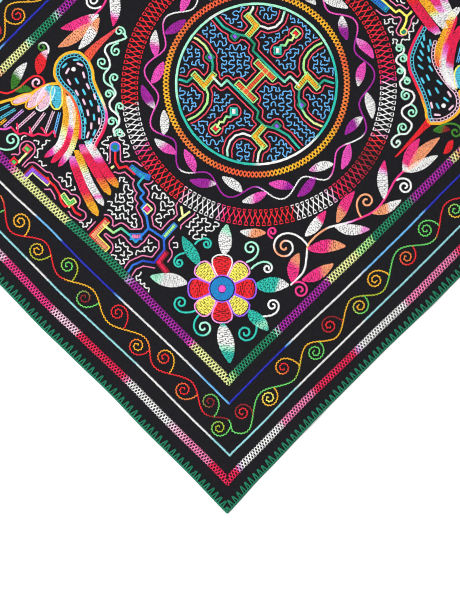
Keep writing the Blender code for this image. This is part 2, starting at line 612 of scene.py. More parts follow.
def clipped_to_mitre(side, s0, t0, s1, t1):
    """Ends of straight stitches, cut back where they pass the mitre at either corner."""
    kept_from, kept_to = np.zeros(len(s0)), np.ones(len(s0))
    for sign, offset in ((1, 0), (-1, side[1])):
        inside0 = sign * s0 + offset - t0
        inside1 = sign * s1 + offset - t1
        change = inside1 - inside0
        cross = np.divide(-inside0, change, out=np.zeros_like(change), where=abs(change) > 1e-9)
        kept_from = np.where((inside0 < 0) & (inside1 > 0), np.maximum(kept_from, cross), kept_from)
        kept_to = np.where((inside0 > 0) & (inside1 < 0), np.minimum(kept_to, cross), kept_to)
        kept_to = np.where((inside0 <= 0) & (inside1 <= 0), -1, kept_to)
    keep = kept_to - kept_from > 0.15
    ends = []
    for share in (kept_from, kept_to):
        ends.append((s0 + (s1 - s0) * share, t0 + (t1 - t0) * share))
    return keep, ends


def lattice_band(sewing, border, depth, wide, pitch, thread, plan):
    """Two families of crossing slanted threads; the lower family is darkened as painted shade under the
    upper one.
    """
    for index, side in enumerate(SIDES):
        reach = 1.5 * pitch
        s = np.arange(0, side[1] + pitch, pitch)
        s = s + sewing.chance.normal(0, 0.1, len(s))
        # The lower family (not lifted) has its colour scaled to 0.92: painted shade under the crossing upper
        # threads.
        for lean, shift, lifted, share in ((-reach, 0, 0.0, 0.92), (reach, pitch / 2, 0.3, 1)):
            t0, t1 = np.full_like(s, depth), np.full_like(s, depth + wide)
            keep, ends = clipped_to_mitre(side, s + shift - lean / 2, t0, s + shift + lean / 2, t1)
            colours = coming_round(plan, signed_round(index, s)) * share
            start, end = (drifted(border, index, a, t, depth) for a, t in ends)
            sewing.add(start[keep], end[keep], thread, colours[keep], 0.8, lifted)


# The plain lines are a little duller than the bands
LINE_SHADE = 0.8


def border_lines(sewing):
    """The two plain lines on either side of the border vine."""
    for border, depth, plan in (
        ("outer_line", OUTER_LINE_AT, OUTER_LINE),
        ("inner_line", INNER_LINE_AT, INNER_LINE),
    ):
        for index, side in enumerate(SIDES):
            s = np.linspace(depth - 0.6, side[1] - depth + 0.6, 200)

            def colours(along, index=index, plan=plan, depth=depth):
                return coming_round(plan, signed_round(index, along + depth)) * LINE_SHADE

            line = drifted(border, index, s, np.full_like(s, depth), depth)
            stem_stitch(sewing, line, colours, wide=2.2, length=3.2, step=1.9, slant=0.4)


# Crests of the border vine, in growing order from the corner: millimetres from the corner
# and millimetres in from the rim. The ones by the near corner follow the photo.
NEAR_END = (
    (356, 48), (321, 68), (281, 48), (250, 66), (213, 48), (183, 65), (149, 48), (113, 64), (79, 45),
)
LEFT_START = (
    (69, 70), (92, 57), (124, 71), (162, 54), (191, 69), (230, 53), (266, 66), (302, 51), (336, 66),
)
FAR_CREST = (466, 45.5)
CREST_IN, CREST_OUT = 67, 48
VINE_MIDDLE = 58
FIRST_CREST = (69, 70)
LAST_CREST = (79, 45)
HALF_WAVE = 35
TURNING = (65, 55)
SPIRAL_WIDE = 9.4
# How far in from an outer crest, and out from an inner one, the middle of its spiral is
SPIRAL_IN, SPIRAL_OUT = 14.5, 12
# How far along the near side the spirals are from their crests
SPIRAL_ALONG = 2
# How far the spirals by the near corner, in turn from it, are moved along and in
SPIRAL_MOVED = {"near": ((5, 3.5), (1.4, 1.4), (-1.4, 3.2)), "left": ((-0.3, -1), (-3.8, -2))}
# Colours of the spirals' outer and inner ends, by the near corner and then in turn
NEAR_SPIRALS = (
    ("gold", "leaf"), ("leaf", "leaf"), ("red", "orange"), ("gold", "gold"), ("leaf", "gold"),
    ("maroon", "red"), ("leaf", "leaf"), ("gold", "red"), ("gold", "yellow"), ("maroon", "red"),
)
LEFT_SPIRALS = (
    ("leaf", "olive"), ("leaf", "maroon"), ("orange", "red"), ("gold", "red"), ("red", "gold"),
    ("red", "red"), ("leaf", "maroon"), ("olive", "leaf"), ("olive", "gold"), ("gold", "gold"),
    ("leaf", "leaf"),
)
FAR_SPIRAL = ("gold", "red")
OTHER_SPIRALS = (
    ("gold", "gold"), ("leaf", "olive"), ("red", "red"), ("orange", "gold"), ("maroon", "red"),
    ("leaf", "leaf"),
)


def evenly_between(first, last):
    """Crests between two known ones, in turn near and far from the rim."""
    halves = round(abs(last[0] - first[0]) / HALF_WAVE)
    inner = first[1] > VINE_MIDDLE
    if (last[1] > VINE_MIDDLE) == inner:
        halves += halves % 2
    else:
        halves += 1 - halves % 2
    return [
        (first[0] + (last[0] - first[0]) * i / halves, CREST_OUT if (i % 2 == 0) != inner else CREST_IN)
        for i in range(1, halves)
    ]


def vine_crests(side):
    """Crests along a side in growing order, as (s, t)."""
    name, long = side[0], side[1]
    first, last = (long - FIRST_CREST[0], FIRST_CREST[1]), LAST_CREST
    if name == "near":
        return [first, *evenly_between(first, NEAR_END[0]), *NEAR_END]
    if name == "left":
        start = [(long - s, t) for s, t in LEFT_START]
        return [*start, *evenly_between(start[-1], last), last]
    if name == "far":
        return [first, *evenly_between(first, FAR_CREST), FAR_CREST, *evenly_between(FAR_CREST, last), last]
    return [first, *evenly_between(first, last), last]


def border_vine(sewing):
    """The waving line with a spiral in each bend. It grows clockwise round the cloth."""
    stops, marks, spirals = [], [], []
    for index in (0, 3, 2, 1):
        side = SIDES[index]
        crests = vine_crests(side)
        for order, (s, t) in enumerate(crests):
            stops.append(side_place(side, s, t)[0])
            marks.append(float(signed_round(index, s)))
            from_end = len(crests) - 1 - order
            if index == 0:
                shade = NEAR_SPIRALS[(len(NEAR_SPIRALS) - 1 - from_end) % len(NEAR_SPIRALS)]
            elif index == 3:
                shade = LEFT_SPIRALS[order % len(LEFT_SPIRALS)]
            else:
                shade = FAR_SPIRAL if (s, t) == FAR_CREST else OTHER_SPIRALS[order % len(OTHER_SPIRALS)]
            from_corner = order if index else from_end
            moved = dict(enumerate(SPIRAL_MOVED.get(side[0], ()))).get(from_corner, (0, 0))
            spirals.append((side, s, t, moved, shade, len(stops) - 1))
        stops.append(side_place(side, *TURNING)[0])
        marks.append(float(signed_round(index, TURNING[0] if index else 0)))
    line = curve(stops, closed=True, pieces=12)
    marks = np.array(marks)
    jump = np.roll(marks, -1) - marks
    jump = (jump + ROUND / 2) % ROUND - ROUND / 2
    steps = np.arange(12 * len(marks)) / 12
    whole = steps.astype(int)
    line_marks = marks[whole] + jump[whole] * (steps - whole)
    reached = np.concatenate([[0], np.cumsum(np.hypot(*np.diff(line, axis=0).T))])

    def colours(along):
        return coming_round(VINE, np.interp(along, reached[: len(line_marks)], line_marks))

    stem_stitch(sewing, line, colours, wide=1.15, length=2.6, step=1.65, slant=0.95, zigzag=True)
    for side, s, t, (along, inward), (outer, inner), stop in spirals:
        out = t < VINE_MIDDLE
        along += s + (SPIRAL_ALONG if side[0] == "near" else 0)
        centre = side_place(side, along, t + inward + (SPIRAL_IN if out else -SPIRAL_OUT))[0]
        joint = line[max(0, stop * 12 - 5)]
        path = spiral(centre, joint, 1.9, SPIRAL_WIDE, clockwise=not out)
        plan = f"0 {outer} 0.35 0.75 {inner} 1"
        stem_stitch(sewing, path, plan, wide=1.15, length=2.4, step=1.6, slant=0.9, zigzag=True)


# The medallion, in millimetres and in degrees counter-clockwise from straight down as pictured
RING_AT = (-1, 1.5)
RING_INNER = 84.3
RING_CHAIN = 95
RING_VINE = 114
VINE_AT = (2, 0)
VINE_SWING = 7.5
VINE_WAVES = 13
LOOPS_AT = (0.5, -1.2)
RING_LOOPS = 138
LOOPS_WIDE = 16.3
# How far in the ring of loops is drawn, by degrees
LOOPS_DRAWN_IN = (
    (-180, 2.5), (-100, 3.6), (-85, 3), (-62, 0.4), (50, 0), (75, 1), (110, 1), (180, 2.5),
)
LOOPS = 147
CHAIN_PLAN = (
    "-180 orange -165 flame -140 -115 orange -100 gold -62 -56 orange -30 -22 flame -2 6 orange 14 "
    "gold 56 64 orange 96 104 flame 112 orange 120 gold 155 165 orange 180"
)
LOOP_PLAN = (
    "-180 red -84.4 -83.4 rose -81.6 white -65.4 -63.4 magenta -61.6 crimson -50 red -37 -35.8 rose "
    "-34.2 white -19 -17.6 magenta -15.6 crimson 0 red 13.8 15 rose 16.4 white 32.2 33.8 magenta "
    "35.6 crimson 56 maroon 65.2 red 67 rose 68.6 white 89 91 magenta 93.4 crimson 120 red 180"
)
RING_PLAN = "-180 mint -158 -148 white -138 mint -80 -74 teal -2 3 white 44 52 teal 110 122 mint 180"
STEM_PLAN = (
    "-180 white -128 -122 magenta -66 -63 purple -44 -42 white -38 -35 purple -2 1 lilac 4 white 37 "
    "41 magenta 55 57 white 64 67 purple 116 119 magenta 142 150 white 180"
)
# Leaves of the ring, from the left of the medallion as it is pictured: the colours of the base
# and of the tip, and the share of the leaf where they meet
RING_LEAVES = (
    ("white", "purple", 0.2), ("white", "white", 0.5), ("magenta", "white", 0.6),
    ("magenta", "magenta", 0.5), ("white", "purple", 0.16), ("white", "white", 0.5),
    ("magenta", "white", 0.6), ("purple", "magenta", 0.35), ("purple", "purple", 0.5),
    ("white", "orchid", 0.72), ("magenta", "magenta", 0.5), ("white", "purple", 0.3),
    ("white", "white", 0.5), ("magenta", "white", 0.75), ("orchid", "magenta", 0.3),
    ("white", "purple", 0.4), ("white", "white", 0.5), ("magenta", "white", 0.6),
    ("magenta", "magenta", 0.5), ("purple", "purple", 0.5), ("white", "purple", 0.2),
    ("white", "white", 0.5), ("magenta", "magenta", 0.5), ("purple", "purple", 0.5),
    ("magenta", "white", 0.5), ("magenta", "magenta", 0.5),
)
# Leaves that point out of and into the ring: degrees from its wave's middle and radius of the
# base, the same of the tip, and the bend
OUTER_LEAF = (6.1, 113, -6.9, 123.6, 1.2)
INNER_LEAF = (6.4, 113.4, -6.8, 103.2, -1.2)
# How far the waves and leaves of the ring are from an even round, in degrees by degrees
UNEVEN = (
    (-180, 0), (-85, 0.2), (-70.5, 0.9), (-57, -0.2), (-43, -0.8), (-29.5, -1.2), (-15, -1),
    (12.5, -1.1), (26.5, -1.3), (40.8, -4), (54.5, -3.5), (68.8, -1.8), (82.5, -2), (97, 0), (180, 0),
)


def uneven(degrees):
    """Where degrees of an even round come on the ring of leaves."""
    signed = (np.atleast_1d(degrees) + 180) % 360 - 180
    return np.atleast_1d(degrees) + np.interp(signed, *zip(*UNEVEN))


def round_medallion(degrees, radii, at=(0, 0)):
    """Flat points at degrees counter-clockwise from straight down as pictured, about a middle."""
    angles = np.radians(degrees)
    way = np.column_stack([np.sin(angles), -np.cos(angles)])
    return as_pictured(way * np.atleast_1d(radii)[:, None] + at)


def by_angle(plan):
    """Colours for places along a full ring that starts straight down."""
    return lambda along: coming_round(plan, (along / along[-1] * 360 + 180) % 360 - 180)


def medallion_rings(sewing):
    """The plain ring, the chain and the ring of looped threads."""
    turn = np.linspace(0, 360, 361)
    for radius in (RING_INNER - 0.6, RING_INNER + 0.6):
        line = round_medallion(turn, radius, RING_AT)
        stem_stitch(sewing, line, by_angle(RING_PLAN), 1.35, 3.6, 2.2, 0.2)
    line = round_medallion(turn, RING_CHAIN, RING_AT)
    cross_stitch(sewing, line, by_angle(CHAIN_PLAN), wide=8.8, link=4.1, thread=1.5)

    step = 360 / LOOPS
    start = np.arange(LOOPS) * step - 180 + sewing.chance.normal(0, 0.1, LOOPS)
    colours = coming_round(LOOP_PLAN, start)
    middle = RING_LOOPS - np.interp(start, *zip(*LOOPS_DRAWN_IN))
    inner, outer = middle - LOOPS_WIDE / 2, middle + LOOPS_WIDE / 2
    over = step * 0.38
    for a, a_radius, b, b_radius, lifted in (
        (-over, inner, step / 2 + over, outer, 0),
        (step / 2 - over, outer, step + over, inner, 0.35),
        (-over, inner, over, inner, 0.2),
        (step / 2 - over, outer, step / 2 + over, outer, 0.2),
    ):
        begin = round_medallion(start + a, a_radius, LOOPS_AT)
        end = round_medallion(start + b, b_radius, LOOPS_AT)
        sewing.add(begin, end, 1.15, colours, 0.6, lifted)


def ring_vine(sewing):
    """The waving stem between the rings, with a leaf in each bend."""
    turn = np.linspace(-180, 180, 1081)
    wave = RING_VINE - VINE_SWING * np.cos(np.radians(VINE_WAVES * (turn + 1)))
    line = round_medallion(uneven(turn), wave, VINE_AT)

    def colours(along):
        return coming_round(STEM_PLAN, along / along[-1] * 360 - 180)

    stem_stitch(sewing, line, colours, wide=1.45, length=1.7, step=1.45, slant=0.72, zigzag=True)
    for order, (base_shade, tip_shade, meet) in enumerate(RING_LEAVES):
        middle = uneven(-84 + order * 180 / VINE_WAVES)
        base_turn, base_at, tip_turn, tip_at, bend = INNER_LEAF if order % 2 else OUTER_LEAF
        base = round_medallion(middle + base_turn, base_at, VINE_AT)[0]
        tip = round_medallion(middle + tip_turn, tip_at, VINE_AT)[0]
        plan = f"0 {base_shade} {meet - 0.12} {meet + 0.12} {tip_shade} 1"
        satin_leaf(sewing, base, tip, 10, plan, bend)


# The flower, in millimetres right of and above its own middle, as pictured
FLOWER = (-37, -213.4)
PETAL_FROM, PETAL_TO = 13.5, 34
ROUND_PETAL = (
    (0, 0.47), (0.2, 0.68), (0.4, 0.87), (0.58, 1), (0.7, 1.02), (0.82, 0.96), (0.92, 0.76), (1, 0.36),
)
PETAL_WIDE = 20.5
# Colours of the petals, and of the line round them, counter-clockwise from the right
PETALS = (
    ("red", "violet"), ("yellow", "orchid"), ("red", "white"), ("yellow", "orchid"),
    ("red", "violet"), ("yellow", "orchid"), ("red", "orchid"), ("yellow", "violet"),
)
# Leaves round the flower: base, tip, width and the colours from base to tip
MINT_TIP = "0 white 0.6 0.8 mint 1"
FLOWER_LEAVES = (
    ((1.3, 35.6), (5.3, 68.4), 14.7, MINT_TIP),
    ((-36.9, 5.4), (-76.4, 13.4), 15.4, MINT_TIP),
    ((34.8, 4.7), (71, 3.4), 16.7, "0 teal 0.6 0.72 white 1"),
    ((0.6, -35.4), (8, -79), 17.4, "0 teal 0.05 0.14 white 0.5 0.64 mint 0.74 teal 1"),
    ((-24.2, 24.2), (-42.2, 55.7), 12, "teal"),
    ((27.4, -22), (48.8, -44.8), 13.4, "0 teal 0.5 0.7 mint 1 teal"),
)
# Tendrils: start, middle of the spiral, its radius, whether it winds clockwise, the colours
TENDRILS = (
    ((25.4, 27.8), (29.8, 42.5), 8.8, False, "mint"),
    ((30.4, 20.8), (47.5, 21.5), 6, True, "0 mint 0.4 0.6 white 1"),
    ((-28.8, 46.9), (-16.1, 46.9), 5.4, True, "teal"),
    ((-39.5, 37.6), (-45.2, 27.5), 5.5, False, "teal"),
    ((-27.5, -22.7), (-43.3, -14.7), 8, True, "teal"),
    ((-24.2, -27.4), (-19.4, -40.8), 10.4, False, "0 teal 0.4 0.6 mint 1"),
    ((36.1, -38.8), (24.5, -46.2), 9.2, True, "teal"),
    ((42.8, -28.8), (52.9, -17.4), 7.6, False, "white"),
)


def about(place, points):
    """Flat points from ones given as pictured, about a place given in the same way."""
    return as_pictured(np.atleast_2d(np.asarray(points, float)) + np.asarray(place, float))


def flower(sewing):
    """Eight satin petals round an eye, with leaves and tendrils."""
    for radius in np.arange(0.9, 4, 1.1):
        stem_stitch(sewing, about(FLOWER, ring(radius, steps=40)), "magenta", 1.5, 2.2, 1.2, 0.2)
    for radius in np.arange(5.2, 12, 1.25):
        stem_stitch(sewing, about(FLOWER, ring(radius)), "ocean", 1.4, 2.4, 1.7, 0.8)
    stem_stitch(sewing, about(FLOWER, ring(14)), "violet", 1.5, 3.0, 1.7, 0.3)
    for order, (shade, outline) in enumerate(PETALS):
        way = heading(45 * order)
        base, tip = way * PETAL_FROM, way * PETAL_TO
        wide = PETAL_WIDE if shade == "red" else PETAL_WIDE * 0.88
        satin_leaf(sewing, *about(FLOWER, (base, tip)), wide, shade, shape=ROUND_PETAL, slant=0)
        rim = rim_of(base, tip, wide, ROUND_PETAL, longer=1.5)
        stem_stitch(sewing, about(FLOWER, rim), outline, 1.6, 2.8, 1.6, 0.35)
    for base, tip, wide, plan in FLOWER_LEAVES:
        satin_leaf(sewing, *about(FLOWER, (base, tip)), wide, plan)
    for start, centre, radius, clockwise, plan in TENDRILS:
        path = about(FLOWER, spiral(centre, start, 1.6, radius, clockwise))
        stem_stitch(sewing, path, plan, 2.0, 3.0, 1.6, 0.5)


# The spray, in the same millimetres as the flower that it grows beside
SPRAY_STEM = (
    (72, 4), (85, 17.5), (88.5, 32), (90, 45), (98, 55), (110, 63.5), (122, 67), (137, 71),
    (159, 81), (170.5, 94), (181, 113), (191, 124),
)
STEM_SHADES = "0 white 0.23 0.25 salmon 0.4 0.43 white 0.52 0.56 orchid 0.6 fuchsia 1"
# Leaves of the spray: base, tip, width, bend and the colours from base to tip
SPRAY_LEAVES = (
    ((45.7, 58.5), (18, 60.5), 9.6, 1, "0 salmon 0.5 0.7 white 1"),
    ((87, 55.5), (109.4, 82.5), 11.4, -1.5, "0 white 0.6 0.68 fuchsia 1"),
    ((120.5, 69.5), (139.5, 103), 11.4, 2, "0 salmon 0.3 0.45 fuchsia 1"),
    ((118, 66), (155.7, 62.4), 11.8, -2.5, "0 white 0.7 0.8 orchid 1"),
    ((90, 42), (130.5, 44.5), 14, 1.5, "0 fuchsia 0.5 0.68 salmon 1"),
    ((73, 7), (81, 38), 13, 2, "0 fuchsia 0.5 0.75 salmon 1"),
    ((84, 9), (117.5, 26.5), 12.6, -2, "0 fuchsia 0.5 0.7 salmon 1"),
    ((157.5, 79.5), (188.6, 93.5), 10.4, -2, "0 salmon 0.45 0.6 white 1"),
    ((170, 94), (170.6, 135.5), 11.6, 2, "0 white 0.62 0.74 orchid 0.8 fuchsia 1"),
)
# The three leaves at a spray's end, by the near spray and by the far one
END_LEAVES = (
    ((190, 123), (207.5, 158.5), 12, 1.4, "0 white 0.12 0.22 fuchsia 1"),
    ((195, 125), (229, 159), 11.6, 2.5, "salmon"),
    ((192, 123), (227, 140), 10.6, -1, "0 salmon 0.06 white 1"),
)
FAR_END_LEAVES = (
    ((-166.6, 74), (-207.1, 59.6), 12.4, 2, "0 white 0.15 0.3 fuchsia 1"),
    ((-176, 65), (-209.8, 39.9), 11.6, 2, "salmon"),
    ((-166.2, 71), (-188.3, 37.5), 11, 2, "0 salmon 0.25 0.4 white 1"),
)
SIDE_LEAVES = (
    ((242, 156), (232, 141), 7.4, 1, "red"),
    ((222, 166.5), (240, 166.5), 8, 1, "0 moss 0.4 0.7 maroon 1"),
)
CURL_SHADES = "0 white 0.42 0.5 salmon 0.6 0.66 white 0.8 0.88 salmon 1"
# Spirals of the spray: start, middle, radius, turns, clockwise and the colours
SPRAY_SPIRALS = (
    ((90, 45), (66, 44), 14.5, 1.9, False, CURL_SHADES),
    ((52.8, 53), (53, 60), 5, 1.3, True, "fuchsia"),
    ((73, 5), (82, -1.5), 8.5, 1.6, True, "fuchsia"),
    ((146, 75), (151.5, 92), 9, 1.5, True, "salmon"),
    ((183, 114), (191.6, 107.2), 8.2, 1.6, True, "white"),
)
SIDE_SPIRALS = (((222, 166), (245, 164.5), 7, 1.5, True, "moss"),)
# How far the second flower and spray are from where the first ones come when they are turned
TWIN_SHIFT = (-24.5, 1)


def sprigs(sewing, leaves, spirals=(), at=FLOWER):
    """Leaves and spirals, given about a place."""
    for base, tip, wide, bend, plan in leaves:
        satin_leaf(sewing, *about(at, (base, tip)), wide, plan, bend)
    for start, centre, radius, turns, clockwise, plan in spirals:
        path = about(at, spiral(centre, start, turns, radius, clockwise))
        stem_stitch(sewing, path, plan, 2.0, 3.0, 1.6, 0.5)


def spray(sewing):
    """A long stem with satin leaves and spirals, beside each flower."""
    stem_stitch(sewing, about(FLOWER, curve(SPRAY_STEM)), STEM_SHADES, 2.1, 3.2, 1.7, 0.5)
    sprigs(sewing, SPRAY_LEAVES, SPRAY_SPIRALS)


def side_sprigs(sewing):
    """The leaves at the sprays' ends, and the last small ones past the end of the near spray."""
    sprigs(sewing, END_LEAVES)
    sprigs(sewing, FAR_END_LEAVES, at=(0, 0))
    sprigs(sewing, SIDE_LEAVES, SIDE_SPIRALS)


# Size of the cells in which an outline is worked out, and how many places a winding line has
OUTLINE_CELL = 1.3
LONGEST_WINDING = 26


def contours(reach, field, level):
    """Lines along which a field has a level, within reach = (low x, low y, high x, high y)."""
    low, high = np.array(reach[:2], float), np.array(reach[2:], float)
    columns, rows = (int(v) for v in np.ceil((high - low) / OUTLINE_CELL))
    surface = bmesh.new()
    bmesh.ops.create_grid(surface, x_segments=columns, y_segments=rows, size=0.5)
    places = np.array([vertex.co[:2] for vertex in surface.verts]) + 0.5
    places = low + places * (high - low)
    for vertex, place, value in zip(surface.verts, places, field(places)):
        vertex.co = (*place, value)
    whole = [*surface.verts, *surface.edges, *surface.faces]
    cut = bmesh.ops.bisect_plane(surface, geom=whole, plane_co=(0, 0, level), plane_no=(0, 0, 1))["geom_cut"]
    points = [vertex for vertex in cut if isinstance(vertex, bmesh.types.BMVert)]
    surface.verts.index_update()
    place_of = {vertex.index: tuple(vertex.co[:2]) for vertex in points}
    beside = {index: [] for index in place_of}
    for edge in cut:
        if isinstance(edge, bmesh.types.BMEdge):
            a, b = (vertex.index for vertex in edge.verts)
            beside[a].append(b)
            beside[b].append(a)
    surface.free()
    lines, left = [], set(place_of)
    for start in sorted(left, key=lambda index: (len(beside[index]), index)):
        if start not in left:
            continue
        line, here = [], start
        while here is not None:
            left.discard(here)
            line.append(place_of[here])
            last, here = here, next((other for other in beside[here] if other in left), None)
        if start in beside[last] and len(line) > 3:
            line.append(place_of[start])
        lines.append(np.array(line))
    return [line for line in lines if len(line) > 3]


def parts_within(line, wanted, shortest=6):
    """The stretches of a line whose points are wanted."""
    kept = wanted(line)
    stretches, now = [], []
    for point, keep in zip(line, kept):
        if keep:
            now.append(point)
        elif now:
            stretches.append(np.array(now))
            now = []
    if now:
        stretches.append(np.array(now))
    return [part for part in stretches if np.hypot(*np.diff(part, axis=0).T).sum() > shortest]


def distance_to(lines):
    """A function that gives how far points are from the nearest of some (points, half width) lines."""
    starts = np.concatenate([np.asarray(points, float)[:-1] for points, _ in lines])
    ends = np.concatenate([np.asarray(points, float)[1:] for points, _ in lines])
    half = np.concatenate([np.full(len(points) - 1, float(wide)) for points, wide in lines])

    def distance(places):
        least = np.full(len(places), 1e9)
        for a, b, wide in zip(starts, ends, half):
            run = b - a
            share = np.clip((places - a) @ run / (run @ run + 1e-9), 0, 1)
            least = np.minimum(least, np.hypot(*(places - a - share[:, None] * run).T) - wide)
        return least

    return distance


def inside(polygon):
    """A function that tells which points are inside a polygon."""
    corners = np.asarray(polygon, float)

    def within(places):
        odd = np.zeros(len(places), bool)
        for (ax, ay), (bx, by) in zip(corners, np.roll(corners, -1, axis=0)):
            across = (places[:, 1] < ay) != (places[:, 1] < by)
            where = ax + (places[:, 1] - ay) * (bx - ax) / (by - ay if by != ay else 1e-9)
            odd ^= across & (places[:, 0] < where)
        return odd

    return within


def meanders(reach, wanted, pitch, chance):
    """Winding lines that fill a space: each goes from place to free place until it is stuck."""
    low, high = np.array(reach[:2], float), np.array(reach[2:], float)
    columns, rows = (int(v) for v in (high - low) / pitch)
    grid = np.array([(i, j) for i in range(columns) for j in range(rows)])
    places = low + (grid + 0.5) * pitch
    keep = wanted(places)
    free = {tuple(cell): place for cell, place in zip(grid[keep].tolist(), places[keep])}
    around = ((1, 0), (0, 1), (-1, 0), (0, -1))

    def neighbours(cell):
        return [near for step in around if (near := (cell[0] + step[0], cell[1] + step[1])) in free]

    lines = []
    while free:
        cell = min(free, key=lambda place: (len(neighbours(place)), place))
        line, last = [], None
        while cell is not None and len(line) < LONGEST_WINDING:
            line.append(free.pop(cell) + chance.normal(0, 0.3, 2))
            options = neighbours(cell)
            straight = None if last is None else (2 * cell[0] - last[0], 2 * cell[1] - last[1])
            last = cell
            order = sorted(
                options, key=lambda near: (near == straight, len(neighbours(near)), chance.random())
            )
            cell = order[0] if order else None
        if len(line) > 2:
            wound = even(curve(line, pieces=4), 1.2)
            notch = np.sin(np.arange(len(wound)) * np.pi / 2) * 0.45
            lines.append(wound + normals(wound) * notch[:, None])
    return lines


def even(points, step=0.8):
    """The same bent line with points at even steps."""
    line = np.asarray(points, float)
    reached = np.concatenate([[0], np.cumsum(np.hypot(*np.diff(line, axis=0).T))])
    along = np.linspace(0, reached[-1], max(2, round(reached[-1] / step)))
    return np.column_stack([np.interp(along, reached, line[:, i]) for i in (0, 1)])


def normals(line):
    """The directions to the left of a line at its points."""
    run = np.gradient(line, axis=0)
    return left_of(run / np.hypot(*run.T)[:, None])


def square_rim(points, half):
    """The closed outline of a bent line that is drawn thick, with square ends."""
    line = np.asarray(points, float)
    ways = np.diff(line, axis=0) / np.hypot(*np.diff(line, axis=0).T)[:, None]
    sides = left_of(ways)
    mitres = [(a + b) / (1 + a @ b) for a, b in zip(sides, sides[1:])]
    offsets = np.array([sides[0], *mitres, sides[-1]]) * half
    spine = np.array([line[0] - ways[0] * half, *line[1:-1], line[-1] + ways[-1] * half])
    return np.concatenate([spine + offsets, (spine - offsets)[::-1], (spine + offsets)[:1]])


def thick_bar(sewing, points, half, plan, edges):
    """A thick bent bar of satin threads with a line along each of its edges."""
    line = np.asarray(points, float)
    for a, b in zip(line, line[1:]):
        way = (b - a) / np.hypot(*(b - a))
        spine = as_pictured([a - way * half * 0.8, b + way * half * 0.8])
        satin(sewing, spine, ((0, half), (1, half)), plan, 1, slant=0.1)
    stem_stitch(sewing, as_pictured(square_rim(line, half + 0.7)), edges, 1.3, 2.8, 1.7, 0.2)


def kene(sewing, reach, within, trunks, bars, knots, outline, outline_at, fill, fill_at, pitch, fill_wide):
    """A maze: trunk lines, thick bars, an outline round them, and winding lines in the rest."""
    for points, plan in trunks:
        for line in parts_within(even(points), within, shortest=2):
            for offset in (-0.5, 0.5):
                stem_stitch(sewing, as_pictured(line + normals(line) * offset), plan, 1.3, 3.0, 1.9, 0.3)
    for points, half, plan, edges in bars:
        thick_bar(sewing, points, half, plan, edges)
    for middle, half, turn, rim, heart in knots:
        knot(sewing, middle, half, turn, rim, heart)
    field = distance_to([
        *((points, 1.2) for points, _ in trunks),
        *((points, half + 1.4) for points, half, _, _ in bars),
        *((np.add(middle, ((0, 0), (0, 0.1))), half + 0.6) for middle, half, *_ in knots),
    ])
    for line in contours(reach, field, outline_at):
        for part in parts_within(line, within):
            stem_stitch(sewing, as_pictured(part), outline, 1.2, 2.4, 1.7, 0.45)
    for line in meanders(reach, lambda p: within(p) & (field(p) > fill_at), pitch, sewing.chance):
        stem_stitch(sewing, as_pictured(line), fill, fill_wide, 2.0, 1.5, 0.4)


def turned(points):
    """Points turned by half a round about the middle."""
    return tuple((-x, -y) for x, y in points)


# Half of the medallion's maze, in millimetres right of and above its middle as pictured; the
# other half is the same, turned by half a round. Columns: points, colours.
MAZE_AT = (-1.8, 4.6)
MEDALLION_TRUNKS = (
    (((46, -5), (36, 5), (30, -1), (3, 26), (-3, 32), (-1, 39), (-9, 47), (-22, 50), (-34, 57),
      (-46, 71), (-50, 77)), "0 white 0.12 mint 0.25 teal 0.6 deep_green 1 teal"),
    (((-8, 68), (-3, 76), (-1, 90)), "0 pale_green 1 white"),
    (((5, 58), (13, 55), (21, 57), (27, 63), (30, 72), (29, 86)), "0 white 0.6 1 mint"),
    (((64, -6), (72, 1), (90, -5)), "0 deep_green 1 teal"),
    (((53, 6), (50, 14), (51, 23), (56, 31), (63, 37), (80, 45)), "pale_green"),
    (((46, -8), (45, -17), (47, -27), (53, -37), (61, -44), (78, -51)),
     "0 deep_green 0.4 teal 0.55 pale_green 1 cream"),
    (((24, 33), (27, 38), (31, 37), (34, 43), (38, 43), (41, 49)), "0 teal 0.5 pale_green 1 cream"),
)
MEDALLION_BARS = (
    (((-8, 68), (1, 58), (-7, 49)), 2.1, "gold", "pale_green"),
    (((45, -6), (54, 5), (64, -6)), 2.1, "gold", "pale_green"),
)
MIDDLE_BARS = (
    (((2.4, 18.6), (17.6, 3.6)), 2.4, "flame", "pale_green"),
    (((-2.4, -18.6), (-17.6, -3.6)), 2.4, "flame", "pale_green"),
    (((10.2, 10.9), (-10.2, -10.9)), 2.2, "flame", "pale_green"),
)
# Small filled marks: middle, half size, turn, colours of the rim and of the heart
MEDALLION_KNOTS = (
    ((-22, 47), 3.2, 45, "deep_green", "violet"),
    ((48, -25), 3.2, 45, "deep_green", "violet"),
    ((23, 32), 3.4, 0, "teal", "white"),
    ((42, 50), 3.4, 45, "pale_green", "red"),
)


def knot(sewing, middle, half, turn, rim, heart):
    """A small square with a heart of another colour."""
    along = heading(turn)
    across = crosswise(along)
    turns = ((-1, -1), (1, -1), (1, 1), (-1, 1), (-1, -1))
    corners = [along * x * half + across * y * half + middle for x, y in turns]
    stem_stitch(sewing, as_pictured(corners), rim, 1.7, 2.6, 1.5, 0.2)
    for offset in np.arange(-half + 1.5, half - 1, 1.0):
        a, b = (along * x * (half - 1.2) + across * offset + middle for x in (-1, 1))
        sewing.add(as_pictured(a), as_pictured(b), 1.15, dyed(heart, [0]), 0.8)


